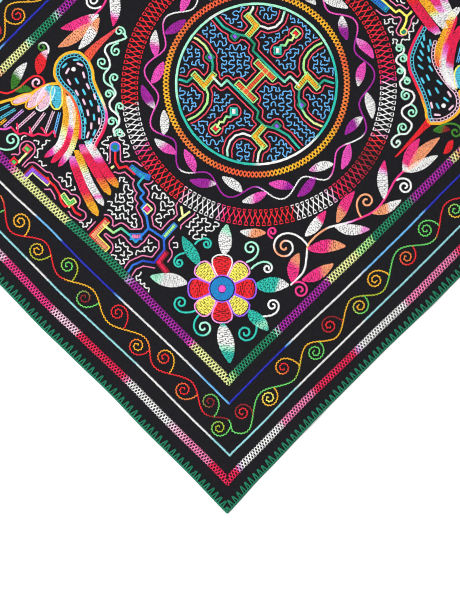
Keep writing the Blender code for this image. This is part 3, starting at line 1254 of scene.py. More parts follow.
def medallion_maze(sewing):
    """The maze in the medallion, of two halves that are turned by half a round."""
    radius = RING_INNER - 2.2
    trunks, bars = [], []
    for points, plan in MEDALLION_TRUNKS:
        trunks += [(np.add(half, MAZE_AT), plan) for half in (points, turned(points))]
    for points, half, plan, edges in MIDDLE_BARS:
        bars.append((np.add(points, MAZE_AT), half, plan, edges))
    for points, half, plan, edges in MEDALLION_BARS:
        bars += [(np.add(part, MAZE_AT), half, plan, edges) for part in (points, turned(points))]

    def within(places):
        return np.hypot(*(places - RING_AT).T) < radius

    knots = [
        (np.add(place, MAZE_AT), *rest)
        for middle, *rest in MEDALLION_KNOTS
        for place in (middle, (-middle[0], -middle[1]))
    ]
    kene(sewing, (-87, -84, 84, 88), within, trunks, bars, knots, "coral", 3.5, "sky", 5.5, 4.0, 1.1)


# The mazes of the field, in the same millimetres: the first between the near bird and the
# flower, of which the second has the turned twin past the picture's edge
FIELD_SPACE = (
    (-335, -25), (-275, -50), (-262, -47), (-212, -52), (-227, -74), (-210, -93), (-197, -86),
    (-190, -90), (-170, -68), (-158, -44), (-138, -42), (-90, -104), (-60, -128), (-30, -134),
    (-38, -148), (-54, -160), (-68, -164), (-80, -158), (-85, -176), (-94, -188), (-104, -206),
    (-122, -232), (-150, -245), (-340, -55),
)
FIELD_TRUNKS = (
    (((-162.5, -145.8), (-151.2, -154.6), (-143.1, -149.8), (-133.1, -157.9), (-127.8, -164.5),
      (-114.3, -149.8)), "0 cream 0.2 pale_green 0.5 teal 0.8 blue 1"),
    (((-114.3, -149.8), (-116.3, -138), (-121.8, -128.1), (-117.7, -124.4), (-123.1, -117.7),
      (-119.1, -113), (-123.7, -107.6), (-125.5, -103.4), (-119.2, -95.6)), "0 blue 0.7 1 teal"),
    (((-149.2, -69.5), (-149.2, -80.2), (-145.1, -86.9), (-137.8, -84.9), (-131, -90.9), (-128.4, -93.6)),
     "red"),
    (((-153.8, -86.9), (-150.5, -84.9)), "cream"),
    (((-114.3, -149.8), (-98.3, -160.5), (-97.7, -172.6), (-108.4, -186.1), (-120.3, -184),
      (-131, -188.7), (-136.4, -196.8), (-137.8, -202.8)), "0 blue 0.6 royal 1 blue"),
    (((-82.8, -141.9), (-78.2, -137.8), (-80.2, -127.1)), "cream"),
    (((-78.2, -137.8), (-70.9, -132.4)), "cream"),
    (((-220.2, -96.3), (-218.9, -100.3), (-212.8, -105.6), (-208.1, -113.7), (-206.1, -121.7),
      (-202.1, -127), (-195.4, -125.8), (-191.6, -132.8), (-185.3, -136.5)), "red"),
    (((-241.6, -70.9), (-247, -76.1), (-251.6, -81.6)), "cream"),
)
FIELD_BARS = (
    (((-159.6, -143.6), (-172.2, -157), (-159.6, -170)), 2.4, "salmon", "0 yellow 0.45 0.55 red 1"),
    (((-97, -158), (-87.6, -147.6)), 1.7, "pale_green", "blue"),
    (((-131, -86.9), (-122.3, -93.6), (-115.5, -96.1)), 1.8, "0 teal 1 blue", "blue"),
    (((-96.9, -176.6), (-103.6, -185.3), (-96.3, -194.7)), 1.8, "crimson", "maroon"),
    (((-130.4, -158.6), (-124.4, -158.6)), 2.2, "rose", "blue"),
    (((-245, -96.9), (-236.3, -88.2), (-220.8, -101.6)), 1.9, "violet",
     "0 maroon 0.45 red 0.55 cream 1"),
    (((-203.4, -116.3), (-197.4, -124.4), (-193.4, -121.7)), 1.7, "leaf", "cream"),
)
FIELD_KNOTS = (
    ((-241.6, -66.8), 3.4, 45, "coral", "leaf"),
    ((-255.7, -80.2), 3.2, 45, "red", "leaf"),
    ((-115.7, -129.8), 3.8, 45, "cream", "fuchsia"),
)
FIELD_EYE = (-149.5, -64.8)
# The part of the second maze that the picture shows
FAR_TRUNKS = (
    (((118, 101), (130.8, 89.8), (145.3, 76.7), (149.1, 79.2), (156.6, 72.4), (162.2, 77.6)), "yellow"),
    (((156.6, 72.4), (156.1, 67.3), (154.2, 62.6), (151.2, 57.6)), "yellow"),
)
FAR_BARS = ((((122.7, 91.0), (134.4, 81.2)), 2.2, "0 blue 0.8 1 teal", "ocean"),)
FAR_EYE = (153.5, 56.3)
FAR_HIGH = 94


def round_eye(sewing, middle, rims, heart):
    """A small filled ring."""
    for radius, shade in (*rims, (1.9, heart), (0.8, heart)):
        stem_stitch(sewing, about(middle, ring(radius, steps=30)), shade, 1.5, 2.2, 1.3, 0.2)


def clear_of(space, obstacles):
    """A function that tells which points are in a space, off the rings, the bands and the obstacles."""
    within, distance = inside(space), distance_to(obstacles)

    def clear(places):
        off_ring = np.hypot(*(places - LOOPS_AT).T) > RING_LOOPS + LOOPS_WIDE / 2 + 1.5
        off_band = rim_depth(as_pictured(places)) > INNER_BAND_AT + BAND_WIDE + 2.5
        return within(places) & off_ring & off_band & (distance(places) > 1.2)

    return clear


def field_maze(sewing, reach, within, trunks, bars, knots):
    """A maze in the colours and the spacing of the field."""
    kene(sewing, reach, within, trunks, bars, knots, "rose", 4.2, "white", 6.4, 4.3, 1.25)


def near_maze(sewing):
    """The maze between the near bird and the first flower."""
    wing = [(np.add(line, BIRD), 1.6) for line, _ in WING_TIPS] + [(np.add(FRONT_LINE, BIRD), 2)]
    plumes = [(np.add(curve(points), BIRD), wide / 2) for points, wide, _ in PLUMES]
    leaves = [(np.add((base, tip), FLOWER), wide / 2) for base, tip, wide, _ in FLOWER_LEAVES]
    tendrils = [
        (np.add(ring(radius, steps=16, centre=centre), FLOWER), 1) for _, centre, radius, *_ in TENDRILS
    ]
    scroll = [(curve(SCROLL), 2), (np.array([(-258, -57), (-268, -60)]), 9)]
    within = clear_of(FIELD_SPACE, wing + plumes + leaves + tendrils + scroll)
    trunks = [*FIELD_TRUNKS, ((FIELD_EYE, np.add(FIELD_EYE, (0, 0.1))), "rose")]
    field_maze(sewing, (-340, -245, -24, -20), within, trunks, FIELD_BARS, FIELD_KNOTS)
    round_eye(sewing, FIELD_EYE, ((4.4, "blue"), (3.2, "blue")), "deep_green")


def far_maze(sewing):
    """The maze beside the far bird. Past the picture's edge it is the first one's turned twin."""

    def past_edge(rows):
        return [
            (turned(points), *rest) for points, *rest in rows if -max(y for _, y in points) > FAR_HIGH
        ]

    trunks, bars = past_edge(FIELD_TRUNKS), past_edge(FIELD_BARS)
    knots = [((-middle[0], -middle[1]), *rest) for middle, *rest in FIELD_KNOTS if -middle[1] > FAR_HIGH]
    body = [(-curve(FAR_FRONT_LINE) + FAR_BIRD, 2), (-curve(FAR_BACK_LINE) + FAR_BIRD, 2)]
    plumes = [(-curve(points) + FAR_BIRD, wide / 2) for points, wide, _ in FAR_PLUMES]
    scroll = [(curve(FAR_SCROLL), 2), (ring(3, centre=(149, 39), steps=9), 1)]
    within = clear_of(turned(FIELD_SPACE), body + plumes + scroll)
    field_maze(sewing, (24, 20, 340, 245), within, [*trunks, *FAR_TRUNKS], [*bars, *FAR_BARS], knots)
    round_eye(sewing, FAR_EYE, ((3.3, "yellow"),), "deep_green")


# One of the two birds, in millimetres right of and above the middle of its head, as pictured
BIRD = (-192, 14)
BACK_LINE = (
    (15, 13), (4, 21.5), (-10, 19.5), (-19.5, 10), (-21.5, -3), (-15, -15), (-5, -25), (2, -39),
    (5, -55), (5, -70),
)
FRONT_LINE = (
    (15, 13), (19.5, 2), (21, -9), (26, -21), (31.5, -34), (34.5, -47), (31.5, -61), (25, -73),
    (21, -82),
)
BACK_SHADES = "0 gold 0.45 0.6 orange 0.8 red 1 crimson"
FRONT_SHADES = "0 gold 0.35 0.45 cream 0.6 magenta 0.75 crimson 1"
BACK_CHAIN = "cyan"
FRONT_CHAIN = "0 cyan 0.6 0.75 pale_rose 1"
BEAK = ((12.5, 15), (25, 29), (47, 48))
BEAK_SHAPE = ((0, 5.4), (0.35, 3.8), (0.7, 2), (1, 0.7))
EYE = (-1, 3)
# Dashes of the body and round the eye: middle, degrees and colour
DASHES = (
    (-5.7, -10.4, -62, "pale_rose"), (2.5, -9.3, -60, "cyan"), (14, -14.8, -64, "pale_rose"),
    (2.5, -21.7, -62, "pale_rose"), (10, -20.9, -64, "cyan"), (21.3, -25.7, -72, "pale_rose"),
    (10, -31.3, -66, "pale_rose"), (17.3, -32.6, -68, "cyan"), (0.5, -27.5, -60, "cyan"),
    (25.3, -38.5, -86, "pale_rose"), (6.8, -38.5, -70, "cyan"), (14, -42.6, -80, "pale_rose"),
    (20.5, -47.4, -84, "cyan"), (11.3, -51.4, -84, "cyan"), (25.8, -51.4, -92, "pale_rose"),
    (10.8, -60.4, -96, "cyan"), (20.9, -63.5, -112, "cyan"), (14, -66, -108, "pale_rose"),
    (16.8, -72.8, -112, "cyan"), (17.6, -56.4, -92, "pale_rose"), (5.7, 8, -24, "pale_rose"),
    (-7.4, 1.3, 60, "pale_rose"), (9.7, -3, -75, "pale_rose"), (2, 13, 5, "cyan"),
    (-10.4, 7, 45, "cyan"),
)
FAR_DASHES = (
    (19.5, -68.4, -86, "cyan"), (12.9, -63.1, -80, "cyan"), (21.2, -61, -68, "cyan"),
    (14.7, -57, -82, "cyan"), (22, -52.4, -60, "cyan"), (24, -46.4, -48, "cyan"),
    (14.2, -45.4, -68, "cyan"), (23, -37.6, -38, "cyan"), (12.5, -36, -56, "cyan"),
    (15.4, -26.4, -64, "cyan"), (21, -23.4, -62, "cyan"), (3.4, -21.4, -40, "cyan"),
    (5.8, -12.9, -60, "cyan"), (13.8, -10.6, -68, "cyan"), (-3.6, -3.4, -38, "cyan"),
    (5.2, 3.4, -62, "cyan"), (11.6, 2.6, -76, "pale_rose"), (-9, 5.1, 45, "pale_rose"),
    (5.6, 12.6, -4, "pale_rose"), (-7, -9, -60, "pale_rose"),
)
WING_EDGE = (
    (-17, -12.6), (-25.1, -13.2), (-35.2, -16.6), (-49.3, -24.7), (-66.3, -29.2), (-78.4, -32.7),
    (-95, -38), (-112, -47), (-124, -58),
)
# Covert feathers of the wing: root, tip, width, fill and the line round it
COVERTS = (
    ((-45.2, -24.7), (-64.8, -31.7), 7, "pale_rose", "gold"),
    ((-31.1, -17.7), (-49.2, -36.8), 10, "pale_rose", "gold"),
    ((-24.1, -14.6), (-37.2, -38.8), 12.2, "0 cyan 0.2 0.4 pale_rose 1", "white"),
    ((-18.6, -14.6), (-19.1, -37.7), 11.5, "cyan", "yellow"),
)
# Long outer feathers of the wing: root, tip, colour
PRIMARIES = (
    ((-67.9, -34.7), (-95, -47), "cyan"),
    ((-61.8, -38.8), (-92, -57), "cyan"),
    ((-53.8, -39.7), (-73.9, -57.4), "lilac"),
    ((-41.2, -41.7), (-60.8, -59.4), "pale_rose"),
    ((-31.1, -42.8), (-46.8, -63.9), "pale_rose"),
    ((-21.9, -40.8), (-31.1, -63.9), "pale_rose"),
    ((-15.6, -42.2), (-21.1, -64.8), "sky"),
    ((-71.9, -49.3), (-78.4, -54.9), "gold"),
    ((-84, -37), (-114, -50), "sky"),
    ((-98, -42), (-118, -52), "cyan"),
)
WING_TIPS = (
    (((-118, -56), (-110, -60), (-100, -57), (-92, -57), (-78.4, -59.4), (-72.4, -59.8), (-66.3, -57.4)),
     "magenta"),
    (((-66.3, -57.8), (-59.3, -64.8), (-52.2, -63.9), (-44.2, -66.8), (-38.2, -64.8), (-28.2, -66.4),
      (-22.1, -61.8), (-20.1, -67.9)), "crimson"),
    (((-59.3, -64.8), (-60.3, -53.8)), "crimson"),
    (((-44.2, -66.8), (-47.2, -57.8)), "crimson"),
    (((-28.2, -66.4), (-34.7, -58.3)), "crimson"),
)
# Long feathers behind the wing and of the tail: points, width and the colours from their root
PLUMES = (
    (((-12, -20), (-8.5, -42), (-11, -62), (-17, -78), (-31.5, -89)), 7.4,
     "0 orange 0.1 gold 0.45 0.55 cream 0.68 white 0.82 0.88 magenta 1 crimson"),
    (((-7, -25), (-2.5, -42), (-4, -60), (-10, -79), (-24.5, -95)), 7.4,
     "0 white 0.4 0.47 magenta 0.6 crimson 1"),
    (((0, -36), (2, -52), (1, -66), (-5, -83), (-17, -99)), 6.6,
     "0 orange 0.1 gold 0.45 0.6 cream 0.8 white 0.88 magenta 1 crimson"),
    (((13, -72), (22, -86), (33, -104), (45, -121)), 8.9,
     "0 aqua 0.1 white 0.3 0.4 magenta 0.5 crimson 0.78 0.84 orange 1 gold"),
    (((7, -76), (15, -91), (26, -110), (37, -129)), 8.5,
     "0 magenta 0.12 rose 0.2 crimson 0.66 0.76 orange 1 gold"),
    (((2, -82), (9, -99), (17, -118), (30, -140)), 7.9,
     "0 gold 0.22 0.34 cream 0.44 white 0.78 0.84 magenta 0.9 white 1"),
    (((-3, -88), (3, -106), (12, -128), (24, -151)), 9,
     "0 lilac 0.1 magenta 0.2 crimson 0.6 0.72 orange 0.8 gold 1"),
)
PLUME_SHAPE = ((0, 0.55), (0.12, 1), (0.85, 1), (0.94, 0.8), (1, 0.25))

# The second bird, which is turned by half a round
FAR_BIRD = (194.4, -18.2)
FAR_BACK_LINE = (
    (13.8, 22.5), (1.6, 22), (-9.7, 17), (-18.2, 8.7), (-20.2, -2), (-17.5, -12), (-10.5, -20),
    (-4, -28), (2, -37), (5.5, -46), (5.5, -56), (3.5, -64),
)
FAR_FRONT_LINE = (
    (13.8, 22.5), (17.3, 15.7), (18.4, 7.8), (20.5, 0.9), (23.4, -7.9), (27.7, -17.4), (32.1, -27),
    (35.2, -34.8), (36.3, -44), (36, -50), (32.3, -60.6), (29, -67.7), (21.8, -81.3),
)
FAR_FRONT_SHADES = "0 gold 0.18 0.26 orange 0.36 red 0.5 crimson 1"
FAR_BACK_CHAIN = "pale_rose"
FAR_BEAK = ((14, 19), (27, 33.5), (49.6, 57))
FAR_BEAK_SHAPE = ((0, 4.6), (0.15, 3.1), (0.4, 2.2), (0.7, 1.5), (1, 0.6))
FAR_PLUMES = (
    (((4.4, -37.7), (4.9, -48.4), (3, -58.5), (-0.3, -67), (-4, -75.6), (-9.2, -88.8), (-14.1, -95.8),
      (-20, -99)), 8.2, "0 red 0.1 orange 0.25 gold 0.72 0.82 cream 0.9 white 1"),
    (((-12.3, -14.8), (-5.3, -24.4), (0, -37.6), (-0.9, -48), (-3.1, -57.4), (-5.5, -67.2), (-9, -78),
      (-15, -90)), 6.8, "0 white 0.42 0.5 orchid 0.58 magenta 0.66 crimson 1"),
    (((-14, -15.7), (-8.4, -27.9), (-7.1, -35.7), (-7.5, -41.4), (-9, -51.7), (-11.2, -62), (-15, -71),
      (-20, -81)), 8.2, "0 white 0.3 0.36 orchid 0.42 crimson 1"),
    (((4.5, -72), (11.7, -80.1), (16.4, -86.2), (21.5, -93), (27.6, -101.6), (32.1, -108), (45, -128)),
     10.2, "0 white 0.04 orchid 0.09 magenta 0.16 crimson 0.5 0.64 red 0.72 orange 1 gold"),
    (((-3, -78), (0.5, -82.5), (5.1, -89.2), (10.3, -95.3), (15, -101.9), (19.6, -108), (34, -131)),
     9.4, "0 white 0.24 0.3 cream 0.36 gold 1"),
    (((-6, -87), (-3.3, -90.6), (1.4, -96.7), (5.1, -102.4), (8.4, -108), (20, -132)), 8.8,
     "0 white 0.17 0.22 orchid 0.32 0.38 fuchsia 1 crimson"),
    (((-10, -90), (-7, -95), (-3.8, -101.4), (-1, -108), (9, -134)), 8.2,
     "0 white 0.33 0.42 orchid 0.55 fuchsia 1"),
)


def bird(sewing, at, sign, lines, dashes, beak, plumes):
    """A hummingbird with dashes on its body, a wing, long feathers and a tail. sign -1 turns it."""

    def posed(points):
        return as_pictured(np.asarray(points, float) * sign + at)

    points, shape, shade = beak
    satin(sewing, posed(curve(points)), shape, shade, 2, slant=0.5)
    for points, shade, chain, outward, outlined in lines:
        line = curve(points)
        for offset in (0.0, 1.3):
            outline = (line + normals(line) * outward * offset)[: int(len(line) * outlined)]
            stem_stitch(sewing, posed(outline), shade, 1.5, 3.0, 1.8, 0.3)
        chain_stitch(sewing, posed(line + normals(line) * outward * 4.1), chain, 4.1, 3.9, 1.05)
    for x, y, degrees, shade in dashes:
        way = heading(degrees)
        for offset in (-0.5, 0.5):
            middle = (x, y) + crosswise(way) * offset
            a, b = posed([middle - way * 4, middle + way * 4])
            sewing.add(a, b, 1.25, dyed(shade, [0]), 0.8)
    for radius in (0.5, 1.7):
        stem_stitch(sewing, posed(np.add(EYE, ring(radius, steps=16))), "white", 1.4, 1.6, 0.9, 0.1)

    for start, end, shade in PRIMARIES:
        chain_stitch(sewing, posed([start, end]), shade, 3.1, 3.4, 1.0)
    for points, shade in WING_TIPS:
        line = curve(points) if len(points) > 2 else np.array(points, float)
        stem_stitch(sewing, posed(line), shade, 2.0, 2.8, 1.5, 0.4)
    for root, tip, wide, fill, outline in COVERTS:
        satin_leaf(sewing, *posed((root, tip)), wide, fill, shape=PETAL_SHAPE)
        rim = rim_of(root, tip, wide, PETAL_SHAPE, longer=1, wider=0.7)
        stem_stitch(sewing, posed(rim), outline, 1.6, 2.8, 1.6, 0.35)
    for offset in (0, 1.3):
        edge = curve(WING_EDGE) + (0, offset)
        stem_stitch(sewing, posed(edge), "0 gold 0.7 1 orange", 1.6, 3.0, 1.7, 0.35)
    for points, wide, plan in plumes:
        shape = [(share, part * wide / 2) for share, part in PLUME_SHAPE]
        satin(sewing, posed(curve(points)), shape, plan, 3, slant=0.45)


def near_bird(sewing):
    """The bird near the corner that shows."""
    lines = (
        (BACK_LINE, BACK_SHADES, BACK_CHAIN, 1, 1),
        (FRONT_LINE, FRONT_SHADES, FRONT_CHAIN, -1, 1),
    )
    bird(sewing, BIRD, 1, lines, DASHES, (BEAK, BEAK_SHAPE, "0 flame 1 coral"), PLUMES)


def far_bird(sewing):
    """The bird on the other side of the medallion, turned by half a round."""
    lines = (
        (FAR_BACK_LINE, "gold", FAR_BACK_CHAIN, 1, 0.45),
        (FAR_FRONT_LINE, FAR_FRONT_SHADES, "cyan", -1, 1),
    )
    bird(sewing, FAR_BIRD, -1, lines, FAR_DASHES, (FAR_BEAK, FAR_BEAK_SHAPE, "red"), FAR_PLUMES)


# The wavy scrolls between the birds and the medallion, and the curls by the near bird's wing.
# Columns of the curls: start, middle, radius, whether it winds clockwise.
SCROLL = (
    (-141, 55), (-138, 50), (-148, 46), (-157, 42.5), (-160, 36), (-156, 28), (-155, 20), (-161, 11),
    (-159.5, 3), (-152, -2), (-149, -9), (-155, -18), (-153.5, -25), (-146, -32), (-145.5, -40),
    (-151, -46), (-149, -53),
)
SCROLL_CURLS = (
    ((-139, 54), (-145, 57), 5, False),
    ((-146, 44.5), (-148.5, 36), 5.4, False),
    ((-156.5, 18), (-163, 24.5), 5.4, True),
    ((-152, 0), (-150, 8), 4.8, True),
    ((-150.5, -10), (-156, -9), 4.2, False),
    ((-146, -30), (-144, -22), 4.2, True),
    ((-147, -42), (-153, -38), 4.6, False),
    ((-150, -53), (-145, -50), 4.4, True),
)
SCROLL_SHADES = "0 mint 0.3 white 0.5 mint 0.7 white 1"
FAR_SCROLL = (
    (154, 38.4), (152.7, 34.1), (147.5, 30.6), (145.8, 25.3), (150.1, 21), (154.9, 15.8), (153.6, 8.8),
    (149.7, 3.6), (151.9, -2.5), (158.5, -5), (162.6, -7), (164.8, -11.8), (162.9, -16.5),
    (159.2, -20.2), (154, -23), (151.7, -26.8), (152.6, -31.4), (155.9, -34.7), (160.1, -38),
    (162, -41.8), (160.1, -46.9), (155.9, -50.7), (149.8, -51.1), (145.1, -53), (141.3, -57.2),
    (141.3, -61.9), (145.1, -64.7), (148.9, -62.4), (149.6, -59.6), (147.5, -57.7), (145.5, -60.5),
)
FAR_SCROLL_CURLS = (
    ((154, 38.4), (149, 39), 4.2, False),
    ((151.9, 33.2), (152.9, 28.4), 4.2, True),
    ((150.1, 20.6), (149.7, 15.6), 3.7, True),
    ((153.2, 8), (156.8, 4.5), 3.7, True),
    ((154.5, -4.6), (155.9, -10.6), 5, False),
    ((160.8, -19.6), (162, -28.3), 5.4, True),
    ((149.3, -50.4), (152.7, -44.1), 4.8, True),
)
FAR_SCROLL_SHADES = "0 white 0.55 1.5 mint"
CURL_VINE = (
    (-290, -4), (-270, -7), (-262, -8), (-251, -3), (-242, 5), (-234, 10), (-227, 8.5), (-223.5, 3.5),
)
CURLS = (
    ((-223.5, 3.5), (-231.5, 3), 6.6, 1.2, True, "0 red 0.4 0.6 pale_rose 1"),
    ((-219.8, 34), (-225.8, 40.2), 5.6, 1.4, False, "0 white 0.4 0.6 moss 1"),
    ((-278, -62), (-258, -57), 9, 1.6, False, "mint"),
)
CURL_LEAVES = (
    ((-230.5, 12.1), (-220.2, 38), 12, 2, "0 red 0.68 0.8 pale_rose 1"),
    ((-258, -4), (-241.6, 24.6), 10.5, 2, "0 moss 0.4 0.6 white 1"),
    ((-255, -5), (-236, -6), 8, 2, "moss"),
)


def scroll(sewing, points, shades_along, curls):
    """A wavy line with small curls in its bends."""
    stem_stitch(sewing, as_pictured(curve(points)), shades_along, 2.1, 2.9, 1.6, 0.5)
    for start, centre, radius, clockwise in curls:
        path = as_pictured(spiral(centre, start, 1.35, radius, clockwise))
        stem_stitch(sewing, path, "mint", 1.9, 2.7, 1.5, 0.35)


def scrolls(sewing):
    """The wavy scrolls beside the medallion."""
    scroll(sewing, SCROLL, SCROLL_SHADES, SCROLL_CURLS)
    scroll(sewing, FAR_SCROLL, FAR_SCROLL_SHADES, FAR_SCROLL_CURLS)


def wing_curls(sewing):
    """Curls and leaves in the gap between a wing and the border."""
    stem_stitch(sewing, as_pictured(curve(CURL_VINE)), "red", 2.0, 3.0, 1.6, 0.4)
    for start, centre, radius, turns, clockwise, plan in CURLS:
        path = as_pictured(spiral(centre, start, turns, radius, clockwise))
        stem_stitch(sewing, path, plan, 2.0, 2.8, 1.5, 0.4)
    for base, tip, wide, bend, plan in CURL_LEAVES:
        satin_leaf(sewing, *as_pictured((base, tip)), wide, plan, bend)


def bare():
    """Nothing is selected, so an operator acts on its own new primitive alone."""
    if bpy.context.object and bpy.context.object.mode != "OBJECT":
        bpy.ops.object.mode_set(mode="OBJECT")
    bpy.ops.object.select_all(action="DESELECT")


def picked(mesh, wanted):
    """Selects the vertices that wanted accepts, and nothing else, in edit mode."""
    bpy.ops.object.mode_set(mode="OBJECT")
    for vertex in mesh.vertices:
        vertex.select = wanted(vertex.co)
    for edge in mesh.edges:
        edge.select = all(mesh.vertices[i].select for i in edge.vertices)
    for face in mesh.polygons:
        face.select = all(mesh.vertices[i].select for i in face.vertices)
    bpy.ops.object.mode_set(mode="EDIT")


def modelled_stitch():
    """One stitch of length, width and height 1, lying along X: its points and its faces."""
    bare()
    bpy.ops.mesh.primitive_uv_sphere_add(segments=4, ring_count=3, radius=0.5, rotation=(0, math.pi / 2, 0))
    shape = bpy.context.object
    bpy.ops.object.transform_apply(location=True, rotation=True, scale=True)
    bpy.ops.object.mode_set(mode="EDIT")
    bpy.ops.mesh.select_mode(type="VERT")
    picked(shape.data, lambda co: 0.1 < abs(co.x) < 0.45)
    bpy.ops.transform.resize(value=(1.36, 1.2, 1.2), center_override=(0, 0, 0))
    picked(shape.data, lambda co: co.z < -0.1)
    bpy.ops.transform.resize(value=(1, 1, 0.35), center_override=(0, 0, 0))
    picked(shape.data, lambda co: True)
    bpy.ops.transform.translate(value=(0, 0, 0.5))
    picked(shape.data, lambda co: abs(co.x) > 0.45)
    bpy.ops.transform.translate(value=(0, 0, -0.4))
    bpy.ops.object.mode_set(mode="OBJECT")
    points = np.array([vertex.co for vertex in shape.data.vertices])
    faces = [tuple(face.vertices) for face in shape.data.polygons]
    bpy.data.objects.remove(shape)
    return points, faces


def stitch_points(rows, points):
    """Where each point of each stitch is on the flat cloth, and its height above it."""
    start, end = rows[:, None, 0:2], rows[:, None, 2:4]
    run = end - start
    across = np.stack([-run[..., 1], run[..., 0]], axis=-1)
    across /= np.maximum(np.hypot(run[..., 0], run[..., 1]), 1e-6)[..., None]
    x, y, z = points.T
    wide, high, lifted = (rows[:, i, None] for i in (4, 5, 6))
    flat = (start + end) / 2 + run * x[None, :, None] + across * (wide * y)[..., None]
    return flat.reshape(-1, 2), (lifted + high * z[None, :]).reshape(-1)


def sewn_piece(name, sewing, stitch):
    """One mesh of all the stitches, each a copy of the modelled one."""
    points, faces = stitch
    rows = np.concatenate(sewing.rows)
    flat, height = stitch_points(rows, points)
    placed = on_cloth(flat, height) * MM
    corners = np.array([i for face in faces for i in face])
    starts = np.cumsum([0] + [len(face) for face in faces[:-1]])
    copies = np.arange(len(rows))[:, None]
    mesh = bpy.data.meshes.new(name)
    mesh.vertices.add(len(placed))
    mesh.vertices.foreach_set("co", placed.astype(np.float32).ravel())
    mesh.loops.add(len(rows) * len(corners))
    indices = corners[None, :] + copies * len(points)
    mesh.loops.foreach_set("vertex_index", indices.astype(np.int32).ravel())
    mesh.polygons.add(len(rows) * len(faces))
    indices = starts[None, :] + copies * len(corners)
    mesh.polygons.foreach_set("loop_start", indices.astype(np.int32).ravel())
    mesh.update(calc_edges=True)

    colours = np.ones((len(rows), len(points), 4), np.float32)
    colours[..., :3] = np.clip(rows[:, None, 7:10], 0, 1)
    shade = mesh.color_attributes.new("thread colour", "FLOAT_COLOR", "POINT")
    shade.data.foreach_set("color", colours.ravel())
    run = np.hypot(*(rows[:, 2:4] - rows[:, 0:2]).T)[:, None]
    lay = np.zeros((len(rows), len(points), 3))
    lay[..., 0], lay[..., 1] = run * points[:, 0], rows[:, 4, None] * points[:, 1]
    laid = mesh.attributes.new("thread lay", "FLOAT_VECTOR", "POINT")
    laid.data.foreach_set("vector", lay.astype(np.float32).ravel())
    mesh.shade_smooth()
    mesh.materials.append(thread_material())
    piece = bpy.data.objects.new(name, mesh)
    bpy.context.scene.collection.objects.link(piece)
    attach(piece, "root")


def new_material(name):
    material = bpy.data.materials.new(name)
    material.use_nodes = True
    tree = material.node_tree
    return material, tree, tree.nodes["Principled BSDF"]


def node(tree, kind, values=(), sources=(), **choices):
    """A new shader node with its choices, the values of its inputs and what is linked to them."""
    made = tree.nodes.new(kind)
    for name, value in choices.items():
        setattr(made, name, value)
    for name, value in dict(values).items():
        made.inputs[name].default_value = value
    for name, source in dict(sources).items():
        tree.links.new(source, made.inputs[name])
    return made


def thread_material():
    """Soft, slightly shining thread in the colour that each stitch carries, twisted along its lay."""
    known = bpy.data.materials.get("embroidery thread")
    if known:
        return known
    material, tree, shader = new_material("embroidery thread")
    colour = node(tree, "ShaderNodeAttribute", attribute_name="thread colour")
    place = node(tree, "ShaderNodeTexCoord")
    at_place = {"Vector": place.outputs["Object"]}
    fuzz = node(tree, "ShaderNodeTexNoise", {"Scale": 1400, "Detail": 3}, at_place)
    ends = {"From Min": 0.3, "From Max": 0.7, "To Min": 0.84, "To Max": 1.1}
    levels = node(tree, "ShaderNodeMapRange", ends, {"Value": fuzz.outputs["Fac"]})
    factors = {0: colour.outputs["Color"], "Scale": levels.outputs["Result"]}
    shaded = node(tree, "ShaderNodeVectorMath", sources=factors, operation="SCALE")
    tree.links.new(shaded.outputs["Vector"], shader.inputs["Base Color"])

    lay = node(tree, "ShaderNodeAttribute", attribute_name="thread lay")
    twist = node(
        tree,
        "ShaderNodeTexWave",
        {"Scale": 0.55, "Distortion": 1.2},
        {"Vector": lay.outputs["Vector"]},
        wave_type="BANDS",
        bands_direction="DIAGONAL",
    )
    height = {"Height": twist.outputs["Fac"]}
    relief = node(tree, "ShaderNodeBump", {"Strength": 0.45, "Distance": 0.12 * MM}, height)
    tree.links.new(relief.outputs["Normal"], shader.inputs["Normal"])
    shader.inputs["Roughness"].default_value = 0.62
    shader.inputs["Specular IOR Level"].default_value = 0.25
    shader.inputs["Sheen Weight"].default_value = 0.05
    return material


def cotton_material():
    """Black plain-weave cotton: fine crossed threads, some of them lighter, and a little lint."""
    material, tree, shader = new_material("black cotton")
    at_place = {"Vector": node(tree, "ShaderNodeTexCoord").outputs["Object"]}
    waves = {"Scale": 420, "Distortion": 1.6, "Detail": 1, "Detail Scale": 0.6}
    weave = {}
    for order, turn in enumerate((0, math.pi / 2)):
        mapping = node(tree, "ShaderNodeMapping", {"Rotation": (0, 0, turn)}, at_place)
        threads = node(tree, "ShaderNodeTexWave", waves, {"Vector": mapping.outputs["Vector"]})
        weave[order] = threads.outputs["Fac"]
    crossed = node(tree, "ShaderNodeMath", sources=weave, operation="MULTIPLY")
    lint = node(tree, "ShaderNodeTexNoise", {"Scale": 620, "Detail": 4}, at_place)
    parts = {0: crossed.outputs["Value"], 2: lint.outputs["Fac"]}
    mixed = node(tree, "ShaderNodeMath", {1: 0.35}, parts, operation="MULTIPLY_ADD")
    ramp = node(tree, "ShaderNodeValToRGB", sources={"Fac": mixed.outputs["Value"]})
    for element, position, level in zip(ramp.color_ramp.elements, (0.35, 0.95), (0.6, 1.5)):
        element.position = position
        element.color = (*[v * level for v in settings().cotton_colour], 1)
    tree.links.new(ramp.outputs["Color"], shader.inputs["Base Color"])
    height = {"Height": mixed.outputs["Value"]}
    relief = node(tree, "ShaderNodeBump", {"Strength": 0.6, "Distance": 0.25 * MM}, height)
    tree.links.new(relief.outputs["Normal"], shader.inputs["Normal"])
    shader.inputs["Roughness"].default_value = 0.92
    shader.inputs["Specular IOR Level"].default_value = 0.15
    return material


# How far the cloth's corners are drawn in along each side, and how near a corner that begins
CORNER_DRAWN_IN = 1.1
CORNER_REACH = 6


